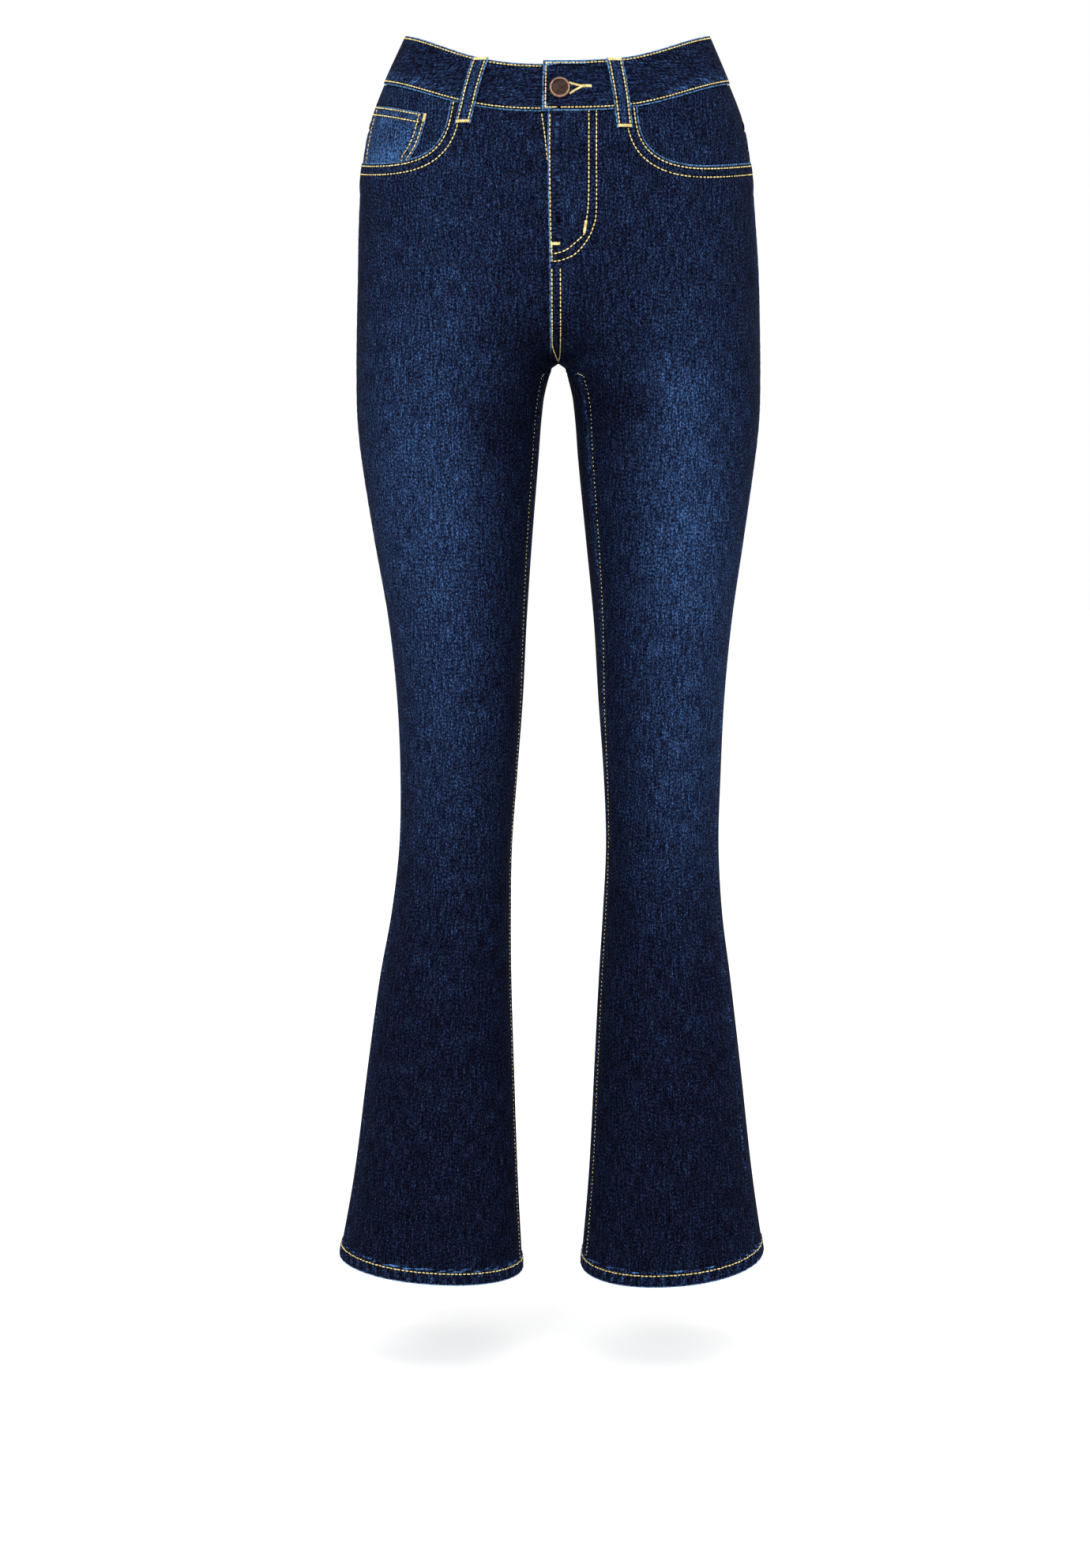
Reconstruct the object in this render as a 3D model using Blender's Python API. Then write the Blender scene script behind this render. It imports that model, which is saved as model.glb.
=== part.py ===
"""Bootcut jeans in the shape they have when worn, hollow, with the waist and both hems open.

Metres, +Z up. The front faces -Y and the wearer's left is at +X. The origin is the middle of the
waist opening, level with the top of the waistband at the sides.

Every piece of cloth lies on one surface. A place on it is named by a side (+1 is the wearer's left,
-1 the right), a girth share w and a level z. w is 0 at the widest point of the side, 1 at the centre
front and -1 at the centre back; below the crotch 1 and -1 are both the inside of the leg. A piece is
a lattice of such places, moved out along the surface's normals, with a wall closed round its rim.
"""

import math
from collections import namedtuple

import bpy
from mathutils import Vector

# Cloth and seams
CLOTH = 0.0015
SEAM_GAP = 0.0003
LAYER_GAP = 0.0004
HEM_DEPTH = 0.0115
HEM_EXTRA = 0.0008

# Waistband, whose top edge dips at the front and at the back
BAND_HEIGHT = 0.0405
BAND_CLOTH = 0.0025
BAND_PROUD = 0.0010
WAIST_TILT = 0.0166
WAIST_DIP = {-1: 0.0213, 1: 0.0192}
SEAM_DIP = 0.0204
WAIST_DIP_BACK = 0.0310
WAIST_DIP_POWER = 4.5
WAIST_DIP_POWER_BACK = 2.5
BAND_LIFT = 0.0029
BAND_OVER = 0.013
BAND_UNDER = 0.026
BAND_CLEAR = 0.0002

# Crotch and seams down the legs
CROTCH_LEVEL = -0.278
CROTCH_FILLET = 0.008
SEAT_FILLET = 0.020
FRONT_CURVE = 0.065
BACK_CURVE = 0.085
CURVE_ONSET = 0.40
GAP_OPENING = 0.050
GAP_ARCH = 0.030
ARCH_POWER = 0.2
ARCH_REACH = 0.045
GAP_LEAST = 0.009
SIDE_TURN = {-1: (6.0, 18.0), 1: (9.0, 26.0)}
SIDE_TURN_LEVELS = (-0.20, -0.75)
INSEAM_TURN = {-1: (0.09, 0.04), 1: (0.155, 0.07)}
INSEAM_TURN_DEPTH = 0.014
HEM_LEVEL = {-1: -1.0787, 1: -1.0745}
HEM_TILT = 0.007
HEM_FRONT_DROP = {-1: 0.0022, 1: 0.0084}

# Fly: the left front laps over the right one
FLY_OVER = 0.008
FLY_UNDER = 0.006
FLY_LIFT = CLOTH + 0.0004
LAP_END = 0.012
FLY_FLAT = 0.010
FLY_WIDTH = 0.034
FLY_SEAM_WIDTH = 0.018
FLY_END = -0.200
SHIELD_EDGE = (-0.016, 0.040)
SHIELD_CLOTH = 0.0012
ZIP_EDGE = (-0.006, 0.016)
ZIP_CHAIN = (0.0078, 0.0136)
ZIP_CLOTH = 0.0010
SLIDER_LENGTH = 0.010

# Scoop pocket mouth, its bearer and the coin pocket
MOUTH_END = {-1: 0.697, 1: 0.808}
MOUTH_DEPTH = 0.0647
MOUTH_ROUND = 3.05
MOUTH_CORNER = 0.70
MOUTH_LIFT = 0.0014
MOUTH_LIFT_FADE = 0.034
BEARER_CLOTH = 0.0012
COIN_CLOTH = 0.0010

# Back yoke and patch pockets
YOKE_SIDE = 0.038
YOKE_CENTRE = 0.066
POCKET_INNER_X = (0.041, 0.046)
POCKET_OUTER_SHARE = (0.235, 0.262)
POCKET_BELOW_YOKE = 0.021
POCKET_HEIGHT = 0.116
POCKET_POINT = 0.022

# Belt loops
LOOP_WIDTH = 0.0122
LOOP_CLOTH = 0.0018
LOOP_SPRING = 0.0020
LOOP_BELOW = 0.0160
LOOP_CLEAR = 0.0006

# Button on the fly
BUTTON_X = 0.0020
BUTTON_DROP = 0.0234
BUTTON_HOLE = 0.0064
BUTTON_RADIUS = 0.0085
BUTTON_HEIGHT = 0.0030
SHANK_RADIUS = 0.0024
BUTTON_SIDES = 24

# Form of the garment, level by level: half width to the side, inseam distance from the middle,
# front and back depth, squareness of the section, and how far both legs sway from the middle.
Section = namedtuple("Section", "z side inseam front back square sway")
SECTIONS = (
    Section(0.012, 0.1230, 0.000, 0.0866, 0.0812, 2.25, -0.0008),
    Section(0.000, 0.1285, 0.000, 0.0890, 0.0850, 2.25, -0.0008),
    Section(-0.040, 0.1470, 0.000, 0.0970, 0.0980, 2.25, -0.0015),
    Section(-0.075, 0.1606, 0.000, 0.1030, 0.1120, 2.28, -0.0014),
    Section(-0.115, 0.1678, 0.000, 0.1060, 0.1240, 2.30, -0.0016),
    Section(-0.160, 0.1716, 0.000, 0.1075, 0.1315, 2.30, -0.0010),
    Section(-0.205, 0.1738, 0.000, 0.1070, 0.1320, 2.28, 0.0000),
    Section(-0.245, 0.1748, 0.000, 0.1055, 0.1255, 2.25, 0.0000),
    Section(-0.290, 0.1752, 0.010, 0.1040, 0.1120, 2.20, 0.0000),
    Section(-0.325, 0.1745, 0.0145, 0.1030, 0.1010, 2.15, 0.0000),
    Section(-0.360, 0.1712, 0.0172, 0.1005, 0.0935, 2.12, 0.0000),
    Section(-0.430, 0.1612, 0.0235, 0.0940, 0.0850, 2.10, 0.0007),
    Section(-0.500, 0.1505, 0.0293, 0.0860, 0.0780, 2.10, 0.0018),
    Section(-0.570, 0.1440, 0.0332, 0.0785, 0.0710, 2.10, 0.0022),
    Section(-0.640, 0.1415, 0.0384, 0.0715, 0.0665, 2.10, 0.0020),
    Section(-0.700, 0.1417, 0.0417, 0.0665, 0.0665, 2.10, 0.0008),
    Section(-0.760, 0.1472, 0.0410, 0.0635, 0.0690, 2.10, -0.0010),
    Section(-0.820, 0.1567, 0.0391, 0.0625, 0.0715, 2.10, -0.0026),
    Section(-0.900, 0.1672, 0.0361, 0.0635, 0.0725, 2.10, -0.0034),
    Section(-1.000, 0.1795, 0.0320, 0.0665, 0.0710, 2.10, -0.0042),
    Section(-1.090, 0.1945, 0.0260, 0.0700, 0.0685, 2.10, -0.0057),
)
MIDDLE_SHARE = 0.35

# The largest folds, as soft ridges (+) and troughs (-): where their middles lie, how long and how
# wide they are across the cloth, and how far they turn from level, in degrees.
Fold = namedtuple("Fold", "side share z length width height turn")
FOLDS = (
    Fold(-1, 0.74, -0.262, 0.060, 0.012, 0.0022, 28),
    Fold(-1, 0.62, -0.292, 0.055, 0.013, -0.0020, 24),
    Fold(1, 0.76, -0.258, 0.060, 0.012, 0.0022, -30),
    Fold(1, 0.64, -0.290, 0.055, 0.013, -0.0018, -24),
    Fold(-1, -0.70, -0.318, 0.070, 0.014, -0.0030, -16),
    Fold(1, -0.70, -0.322, 0.070, 0.014, -0.0030, 16),
    Fold(-1, -0.62, -0.350, 0.060, 0.014, 0.0024, -10),
    Fold(1, -0.60, -0.356, 0.060, 0.014, 0.0024, 10),
    Fold(-1, -0.52, -0.640, 0.050, 0.014, -0.0030, 12),
    Fold(1, -0.50, -0.648, 0.050, 0.014, -0.0030, -12),
    Fold(-1, -0.55, -0.690, 0.050, 0.014, 0.0024, -8),
    Fold(1, -0.52, -0.694, 0.050, 0.014, 0.0024, 8),
)

# Lattice lines
BLOCK_ROWS = (0.0, 0.26, 0.45, 0.63, 0.82, 1.0)
BLOCK_COLUMNS = (0.0, 0.22, 0.43, 0.64, 0.835, 1.0)
COIN_ROW = 1
COIN_COLUMN = 4
FRONT_CELLS = 4
FRONT_EDGE_X = (0.030, 0.018, 0.008, 0.0)
MOUTH_ROW_AT_FRONT = 0.050
RISE_ROWS = (0.1, 0.22, 0.36, 0.5, 0.63, 0.75, 0.85, 0.93, 0.975, 1.0)
LEG_ROWS = (
    0.0025, 0.010, 0.025, 0.05, 0.085, 0.125, 0.17, 0.22, 0.27, 0.32, 0.37, 0.42, 0.465,
    0.51, 0.555, 0.60, 0.65, 0.70, 0.75, 0.80, 0.85, 0.90, 0.95,
)
YOKE_ROWS = (0.0, 0.5, 1.0)
BACK_CELLS = (3, 7, 3)
POCKET_ROWS = 6
SEAT_ROWS = (0.40, 0.70, 0.90, 1.0)

# Finishes: base colour, roughness and metallic
Finish = namedtuple("Finish", "colour rough metal")
DENIM = Finish((0.020, 0.034, 0.095, 1.0), 0.85, 0.0)
DENIM_FADED = Finish((0.035, 0.060, 0.150, 1.0), 0.85, 0.0)
COPPER = Finish((0.130, 0.085, 0.060, 1.0), 0.38, 0.9)
ZIP_BRASS = Finish((0.300, 0.220, 0.110, 1.0), 0.45, 0.8)


def mix(first, last, share):
    return first + (last - first) * share


def ease(start, end, value):
    """0 at start, 1 at end, smooth between."""
    t = min(max((value - start) / (end - start), 0.0), 1.0)
    return t * t * (3.0 - 2.0 * t)


def table_slope(rows, column, k):
    """Slope of a table's column at row k, from the rows on both sides."""
    above = rows[max(k - 1, 0)]
    below = rows[min(k + 1, len(rows) - 1)]
    return (getattr(below, column) - getattr(above, column)) / (below.z - above.z)


def table_value(rows, column, z):
    """A table's column at level z, on a smooth curve through its rows."""
    z = min(max(z, rows[-1].z), rows[0].z)
    k = 0
    while k < len(rows) - 2 and z < rows[k + 1].z:
        k += 1
    step = rows[k + 1].z - rows[k].z
    t = (z - rows[k].z) / step
    first = getattr(rows[k], column)
    last = getattr(rows[k + 1], column)
    leave = table_slope(rows, column, k) * step
    arrive = table_slope(rows, column, k + 1) * step
    return (
        first * (2 * t**3 - 3 * t**2 + 1)
        + leave * (t**3 - 2 * t**2 + t)
        + last * (3 * t**2 - 2 * t**3)
        + arrive * (t**3 - t**2)
    )


class Level:
    """The garment's section at one level. Distances from the middle are measured as
    sqrt(x * x + fillet * fillet), which rounds the groove between the legs. Under the crotch the
    arch moves the insides of the legs, and little else, further apart."""

    def __init__(self, z):
        height = z - CROTCH_LEVEL
        front = -table_value(SECTIONS, "front", z)
        back = table_value(SECTIONS, "back", z)
        self.square = table_value(SECTIONS, "square", z)
        self.fillet = mix(CROTCH_FILLET, SEAT_FILLET, ease(0.0, FRONT_CURVE, height))
        self.middle = MIDDLE_SHARE * (front + back)
        self.depth = {1: self.middle - front, -1: back - self.middle}
        self.far = math.hypot(table_value(SECTIONS, "side", z), self.fillet)
        self.near = self.fillet
        self.pinch = {1: 1.0, -1: 1.0}
        self.arch = 0.0
        if height >= 0.0:
            for face, curve in ((1, FRONT_CURVE), (-1, BACK_CURVE)):
                t = min(height / curve, 1.0)
                joined = (2.0 * t - t * t) * ease(0.0, CURVE_ONSET, t)
                self.pinch[face] = (1.0 - joined) ** (1.0 / self.square)
        else:
            gap = max(table_value(SECTIONS, "inseam", z), GAP_LEAST)
            inseam = gap * math.sqrt(ease(0.0, GAP_OPENING, -height))
            wanted = gap * min(-height / GAP_ARCH, 1.0) ** ARCH_POWER
            self.arch = max(wanted - inseam, 0.0) / (1.0 - inseam / ARCH_REACH) ** 2
            self.near = math.hypot(inseam, self.fillet)

    def oval(self, face):
        """Half width and centre of the oval on this face."""
        pinch = self.pinch[face]
        half = (self.far - self.near) / (1.0 + pinch)
        return half, self.near + pinch * half

    def last_angle(self, face):
        return math.acos(-(self.pinch[face] ** (self.square / 2.0)))

    def widened(self, x):
        """Distance from the middle with the arch."""
        return x + self.arch * max(1.0 - x / ARCH_REACH, 0.0) ** 2

    def narrowed(self, x):
        """Distance from the middle that the arch moves to x."""
        if self.arch < 1e-6 or x >= ARCH_REACH:
            return x
        bend = self.arch / ARCH_REACH**2
        slope = 1.0 - 2.0 * self.arch / ARCH_REACH
        root = max(slope**2 + 4.0 * bend * (x - self.arch), 0.0)
        return (math.sqrt(root) - slope) / (2.0 * bend)

    def point(self, w):
        """(x, y) at girth share w, from -1 to 1."""
        face = 1 if w >= 0.0 else -1
        half, centre = self.oval(face)
        angle = abs(w) * self.last_angle(face)
        power = 2.0 / self.square
        across = math.copysign(abs(math.cos(angle)) ** power, math.cos(angle))
        away = max(math.sin(angle), 0.0) ** power
        distance = centre + half * across
        x = self.widened(math.sqrt(max(distance**2 - self.fillet**2, 0.0)))
        return x, self.middle - face * self.depth[face] * away

    def share_at(self, x, face):
        """Girth share, without its sign, of the point this far from the middle."""
        half, centre = self.oval(face)
        across = (math.hypot(self.narrowed(x), self.fillet) - centre) / half
        across = min(max(across, -1.0), 1.0)
        angle = math.acos(math.copysign(abs(across) ** (self.square / 2.0), across))
        return angle / self.last_angle(face)

    def outside(self, x, y):
        """Grows outwards, and is 1 on the surface."""
        face = 1 if y < self.middle else -1
        half, centre = self.oval(face)
        across = abs(math.hypot(self.narrowed(abs(x)), self.fillet) - centre) / half
        away = abs(y - self.middle) / self.depth[face]
        return across**self.square + away**self.square


def surface_point(w, z):
    """Point on the wearer's left half, before the sway. w past 1 or -1 goes on round."""
    if z >= CROTCH_LEVEL and abs(w) > 1.0:
        mirrored = surface_point(math.copysign(2.0, w) - w, z)
        return Vector((-mirrored.x, mirrored.y, z))
    if abs(w) > 1.0:
        w -= math.copysign(2.0, w)
    x, y = Level(z).point(w)
    return Vector((x, y, z))


def surface_normal(point):
    step = 0.0006
    here = Level(point.z)
    slope = Vector(
        (
            here.outside(point.x + step, point.y) - here.outside(point.x - step, point.y),
            here.outside(point.x, point.y + step) - here.outside(point.x, point.y - step),
            Level(point.z + step).outside(point.x, point.y)
            - Level(point.z - step).outside(point.x, point.y),
        )
    )
    return slope.normalized()


def fold_height(side, w, z):
    """Height of the folds, which die out at the centre seams and at the inseam."""
    total = 0.0
    for fold in FOLDS:
        if fold.side != side:
            continue
        girth = mix(0.25, 0.20, ease(CROTCH_LEVEL, CROTCH_LEVEL + FRONT_CURVE, z))
        along = (w - fold.share) * girth
        up = z - fold.z
        turn = math.radians(fold.turn)
        length = (along * math.cos(turn) + up * math.sin(turn)) / fold.length
        width = (up * math.cos(turn) - along * math.sin(turn)) / fold.width
        total += fold.height * math.exp(-0.5 * (length**2 + width**2))
    return total * ease(1.0, 0.86, abs(w))


def place(side, w, z, proud):
    """Point on the garment, this far outside its surface."""
    point = surface_point(w, z)
    point += surface_normal(point) * (proud + fold_height(side, w, z))
    sway = table_value(SECTIONS, "sway", z)
    return Vector((side * point.x + sway, point.y, point.z))


def waist_line(w, front_dip):
    """Level of a line round the waist that tilts forwards and dips at the front and the back."""
    s = math.sin(min(abs(w), 1.0) * math.pi / 2.0)
    if w > 0.0:
        return -WAIST_TILT * s - front_dip * s**WAIST_DIP_POWER
    return WAIST_TILT * s - WAIST_DIP_BACK * s**WAIST_DIP_POWER_BACK


def waist_top(side, w):
    """Level of the waistband's top edge."""
    return waist_line(w, WAIST_DIP[side])


def band_foot(w):
    """Level of the waistband's lower edge."""
    return waist_line(w, SEAM_DIP) - BAND_HEIGHT


def band_seam(w):
    """Level of the panels' top edge, under the waistband."""
    return band_foot(w) - BAND_CLEAR


def side_share(side, z):
    """Girth share of the side seam, which lies a little in front of the widest point."""
    turn = math.radians(mix(*SIDE_TURN[side], ease(*SIDE_TURN_LEVELS, z)))
    return turn / Level(z).last_angle(1)


def hem_level(side, w):
    angle = w * math.pi
    front_drop = HEM_FRONT_DROP[side] * math.sin(angle)
    return HEM_LEVEL[side] + HEM_TILT * math.cos(angle) - front_drop


def inseam_share(side, z):
    """Girth share of the inseam, which turns to the front below the crotch and back again."""
    below = CROTCH_LEVEL - z
    turn = mix(*INSEAM_TURN[side], ease(0.14, 0.45, below))
    return 1.0 - turn * ease(0.0, INSEAM_TURN_DEPTH, below)


def share_from_x(x, z, face=1):
    """Girth share at a distance from the middle. Under 0 it is past the middle."""
    share = Level(z).share_at(abs(x), face)
    return share if x >= 0.0 else 2.0 - share


def lap_share(z):
    """1 along the fly and its seam, 0 just above the crotch."""
    return ease(CROTCH_LEVEL + LAP_END, CROTCH_LEVEL + 0.030, z)


def fly_lift(x, z):
    """How far the left front stands off where it laps over the right one."""
    width = mix(FLY_SEAM_WIDTH, FLY_WIDTH, ease(FLY_END - 0.012, FLY_END + 0.012, z))
    lift = FLY_LIFT * (1.0 - ease(FLY_FLAT, width, x))
    return lift * ease(CROTCH_LEVEL, CROTCH_LEVEL + LAP_END, z)


def mouth_drop(share):
    """Depth of the mouth under the band, for a share of its width from the side seam."""
    return MOUTH_DEPTH * (1.0 - min(share, 1.0) ** MOUTH_ROUND) ** (1.0 / MOUTH_ROUND)


def mouth_width(drop):
    """Share of the mouth's width at a depth under the band."""
    return (1.0 - min(drop / MOUTH_DEPTH, 1.0) ** MOUTH_ROUND) ** (1.0 / MOUTH_ROUND)


def mouth_side(side):
    """Girth share where the mouth meets the side seam."""
    return side_share(side, band_seam(0.0) - MOUTH_DEPTH)


def past_mouth(side, w, z):
    """Rough distance from the pocket mouth into the front."""
    start = mouth_side(side)
    across = (w - start) / (MOUTH_END[side] - start)
    down = (band_seam(w) - z) / MOUTH_DEPTH
    reach = (max(across, 0.0) ** MOUTH_ROUND + max(down, 0.0) ** MOUTH_ROUND) ** (1.0 / MOUTH_ROUND)
    return (reach - 1.0) * MOUTH_DEPTH


def mouth_lift(side, w, z):
    """How far the front stands off round the pocket mouth, over the bearer."""
    return MOUTH_LIFT * (1.0 - ease(MOUTH_LIFT_FADE * 0.4, MOUTH_LIFT_FADE, past_mouth(side, w, z)))


def front_proud(side, w, z):
    """How far the front panel stands off the surface."""
    fly = 0.0
    if side == 1 and w > 0.6:
        fly = fly_lift(surface_point(w, z).x, z)
    return mouth_lift(side, w, z) + fly


def grid(rows, columns):
    return [[None] * columns for _ in range(rows)]


def front_lattice(side):
    """(w, z) of the front's rows and columns. The first block is the pocket bearer's."""
    block = len(BLOCK_COLUMNS) - 1
    edge = block + FRONT_CELLS
    columns = edge + len(FRONT_EDGE_X) + 1
    mouth = MOUTH_END[side] - mouth_side(side)
    corner = mouth_width(MOUTH_CORNER * MOUTH_DEPTH)
    lattice = []
    for share in BLOCK_ROWS:
        right = mouth_side(side) + mouth * mouth_width(share * MOUTH_CORNER * MOUTH_DEPTH)
        row = []
        for k in range(columns):
            if k <= block:
                w = mix(mouth_side(side), right, BLOCK_COLUMNS[k])
                drop = share * mouth_drop(corner * BLOCK_COLUMNS[k])
            else:
                inner = (k - block) / (columns - 1 - block)
                drop = share * mix(MOUTH_CORNER * MOUTH_DEPTH, MOUTH_ROW_AT_FRONT, inner)
                level = band_seam(0.9) - drop
                w = hip_share(side, k, right, level)
            row.append((w, band_seam(w) - drop))
        lattice.append(row)
    start = lattice[-1]
    for t in RISE_ROWS:
        row = []
        for k in range(columns):
            z = mix(start[k][1], CROTCH_LEVEL, t)
            if k <= block:
                w = mix(side_share(side, z), start[block][0], BLOCK_COLUMNS[k])
            else:
                w = hip_share(side, k, start[block][0], z)
            if k < columns - 1:
                even = mix(side_share(side, z), 1.0, k / (columns - 1))
                w = mix(w, even, ease(0.8 if k >= edge else 0.45, 1.0, t))
            row.append((w, z))
        lattice.append(row)
    for t in leg_shares(side):
        row = []
        for k in range(columns):
            level = leg_level(side, 0.5, t)
            w = mix(side_share(side, level), inseam_share(side, level), k / (columns - 1))
            row.append((w, leg_level(side, w, t)))
        lattice.append(row)
    return lattice


def hip_share(side, k, right, z):
    """Girth share of a front column between the pocket mouth and the centre."""
    block = len(BLOCK_COLUMNS) - 1
    edge = block + FRONT_CELLS
    if k <= edge:
        return mix(right, share_from_x(FRONT_EDGE_X[0], z), (k - block) / FRONT_CELLS)
    if k < edge + len(FRONT_EDGE_X):
        return share_from_x(FRONT_EDGE_X[k - edge], z)
    lap = FLY_OVER if side == 1 else FLY_UNDER
    return share_from_x(-lap * lap_share(z), z)


def leg_shares(side):
    """Rows of a leg, ending with the two edges of the hem's step and the hem."""
    length = CROTCH_LEVEL - HEM_LEVEL[side]
    step = 1.0 - HEM_DEPTH / length
    return LEG_ROWS + (step - 0.0012, step, 1.0)


def leg_level(side, w, t):
    return mix(CROTCH_LEVEL, hem_level(side, w), t)


def hem_proud(side, w, z):
    above = z - hem_level(side, w)
    return HEM_EXTRA if above < HEM_DEPTH + 0.0002 else 0.0


def back_lattice(side):
    """(w, z) of the back's rows and columns, from the yoke's top edge down."""
    outer, pocket, inner = BACK_CELLS
    columns = outer + pocket + inner + 1

    def hip(k, z, down):
        edge = -mix(*POCKET_OUTER_SHARE, down)
        heart = -share_from_x(mix(*POCKET_INNER_X, down), z, -1)
        if k <= outer:
            return mix(side_share(side, z), edge, k / outer)
        if k <= outer + pocket:
            return mix(edge, heart, (k - outer) / pocket)
        return mix(heart, -1.0, (k - outer - pocket) / inner)

    def yoke_drop(w):
        return mix(YOKE_SIDE, YOKE_CENTRE, max(-w, 0.0))

    lattice = []
    for share in YOKE_ROWS:
        row = []
        for k in range(columns):
            w = hip(k, band_seam(-0.8) - share * 0.06, 0.0)
            row.append((w, band_seam(w) - share * yoke_drop(w)))
        lattice.append(row)
    for step in range(POCKET_ROWS + 1):
        down = step / POCKET_ROWS
        row = []
        for k in range(columns):
            level = band_seam(-0.6) - 0.08 - down * POCKET_HEIGHT
            w = hip(k, level, down)
            from_middle = abs(k - outer - pocket / 2.0) / (pocket / 2.0)
            point = POCKET_POINT * max(1.0 - from_middle, 0.0)
            drop = yoke_drop(w) + POCKET_BELOW_YOKE + down * (POCKET_HEIGHT + point)
            row.append((w, band_seam(w) - drop))
        lattice.append(row)
    start = lattice[-1]
    for t in SEAT_ROWS:
        row = []
        for k in range(columns):
            z = mix(start[k][1], CROTCH_LEVEL, t)
            even = mix(side_share(side, z), -1.0, k / (columns - 1))
            w = mix(start[k][0], even, ease(0.0, 1.0, t)) if k else side_share(side, z)
            row.append((w, z))
        lattice.append(row)
    for t in leg_shares(side):
        row = []
        for k in range(columns):
            level = leg_level(side, 0.5, t)
            w = mix(side_share(side, level), inseam_share(side, level) - 2.0, k / (columns - 1))
            row.append((w, leg_level(side, w, t)))
        lattice.append(row)
    return lattice


def lattice_step(points, i, j, along_rows):
    """Unit vector along a lattice line at a point."""
    rows = len(points)
    columns = len(points[0])
    if along_rows:
        first = points[max(i - 1, 0)][j] or points[i][j]
        last = points[min(i + 1, rows - 1)][j] or points[i][j]
    else:
        first = points[i][max(j - 1, 0)] or points[i][j]
        last = points[i][min(j + 1, columns - 1)] or points[i][j]
    return (last - first).normalized()


def seam_shift(points, cells, i, j):
    """Half a seam gap, away from the cells that are missing round a lattice point."""
    shift_i = 0
    shift_j = 0
    for di in (-1, 1):
        for dj in (-1, 1):
            if (i + min(di, 0), j + min(dj, 0)) not in cells:
                shift_i -= di
                shift_j -= dj
    shift_i = min(max(shift_i, -1), 1)
    shift_j = min(max(shift_j, -1), 1)
    shift = Vector((0.0, 0.0, 0.0))
    if shift_i:
        shift += lattice_step(points, i, j, True) * shift_i
    if shift_j:
        shift += lattice_step(points, i, j, False) * shift_j
    return shift * (SEAM_GAP / 2.0)


def wall(name, outer, inner, cells, material):
    """One closed solid between two lattices of points, over the given cells."""
    vertices = []
    index = {}
    for sheet, points in (("out", outer), ("in", inner)):
        for i, row in enumerate(points):
            for j, point in enumerate(row):
                corners = ((i - 1, j - 1), (i - 1, j), (i, j - 1), (i, j))
                if point is None or not any(corner in cells for corner in corners):
                    continue
                index[sheet, i, j] = len(vertices)
                vertices.append(point + seam_shift(points, cells, i, j))
    faces = []
    for i, j in cells:
        loop = ((i, j), (i + 1, j), (i + 1, j + 1), (i, j + 1))
        for half in (loop[:3], (loop[2], loop[3], loop[0])):
            faces.append([index["out", *corner] for corner in half])
            faces.append([index["in", *corner] for corner in reversed(half)])
        beside = ((i, j - 1), (i + 1, j), (i, j + 1), (i - 1, j))
        for k in range(4):
            if beside[k] in cells:
                continue
            a = loop[k]
            b = loop[(k + 1) % 4]
            faces.append([index["in", *a], index["in", *b], index["out", *b], index["out", *a]])
    return finish_mesh(name, vertices, faces, material)


def finish_mesh(name, vertices, faces, material):
    mesh = bpy.data.meshes.new(name)
    mesh.from_pydata([tuple(v) for v in vertices], [], faces)
    mesh.update()
    volume = sum(
        vertices[f[0]].dot(vertices[f[k]].cross(vertices[f[k + 1]]))
        for f in faces
        for k in range(1, len(f) - 1)
    )
    if volume < 0.0:
        mesh.flip_normals()
    mesh.shade_smooth()
    mesh.set_sharp_from_angle(angle=math.radians(40))
    mesh.materials.append(material)
    part = bpy.data.objects.new(name, mesh)
    bpy.context.collection.objects.link(part)
    return part


def all_cells(points):
    return {(i, j) for i in range(len(points) - 1) for j in range(len(points[0]) - 1)}


def placed(side, lattice, proud, edge_x=None):
    """Lattice of points that stand proud(w, z) off the surface."""
    points = []
    for row in lattice:
        line = []
        for w, z in row:
            point = place(side, w, z, proud(w, z))
            sway = table_value(SECTIONS, "sway", z)
            if edge_x is not None and 0.0 >= (side * (point.x - sway)) - edge_x:
                point.x = sway + side * edge_x
            line.append(point)
        points.append(line)
    return points


def panel(name, side, lattice, proud, cloth, material, cells=None, edge_x=None):
    outer = placed(side, lattice, proud, edge_x)
    inner = placed(side, lattice, lambda w, z: proud(w, z) - cloth(w, z), edge_x)
    return wall(name, outer, inner, all_cells(lattice) if cells is None else cells, material)


def build_front(side, name, material):
    lattice = front_lattice(side)
    block = len(BLOCK_COLUMNS) - 1
    cells = {
        (i, j)
        for i, j in all_cells(lattice)
        if i >= len(BLOCK_ROWS) - 1 or j >= block
    }

    def proud(w, z):
        return front_proud(side, w, z) + hem_proud(side, w, z)

    def cloth(w, z):
        return CLOTH + hem_proud(side, w, z)

    panel(name, side, lattice, proud, cloth, material, cells)


def build_bearer(side, name, material):
    """The piece that fills the pocket mouth, and the coin pocket on the wearer's right."""
    rows = len(BLOCK_ROWS) + 1
    columns = len(BLOCK_COLUMNS) + 1
    lattice = [row[:columns] for row in front_lattice(side)[:rows]]
    coin = [row[: COIN_COLUMN + 1] for row in lattice[COIN_ROW:]]
    under_coin = {place for row in coin for place in row} if side == -1 else set()

    def proud(w, z):
        return mouth_lift(side, w, z) - CLOTH - LAYER_GAP

    def lowered(w, z):
        coin_layer = COIN_CLOTH + LAYER_GAP if (w, z) in under_coin else 0.0
        return proud(w, z) - coin_layer

    panel(name, side, lattice, lowered, lambda w, z: BEARER_CLOTH, material)
    if side == -1:
        panel("coin_pocket", side, coin, proud, lambda w, z: COIN_CLOTH, material)


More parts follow.
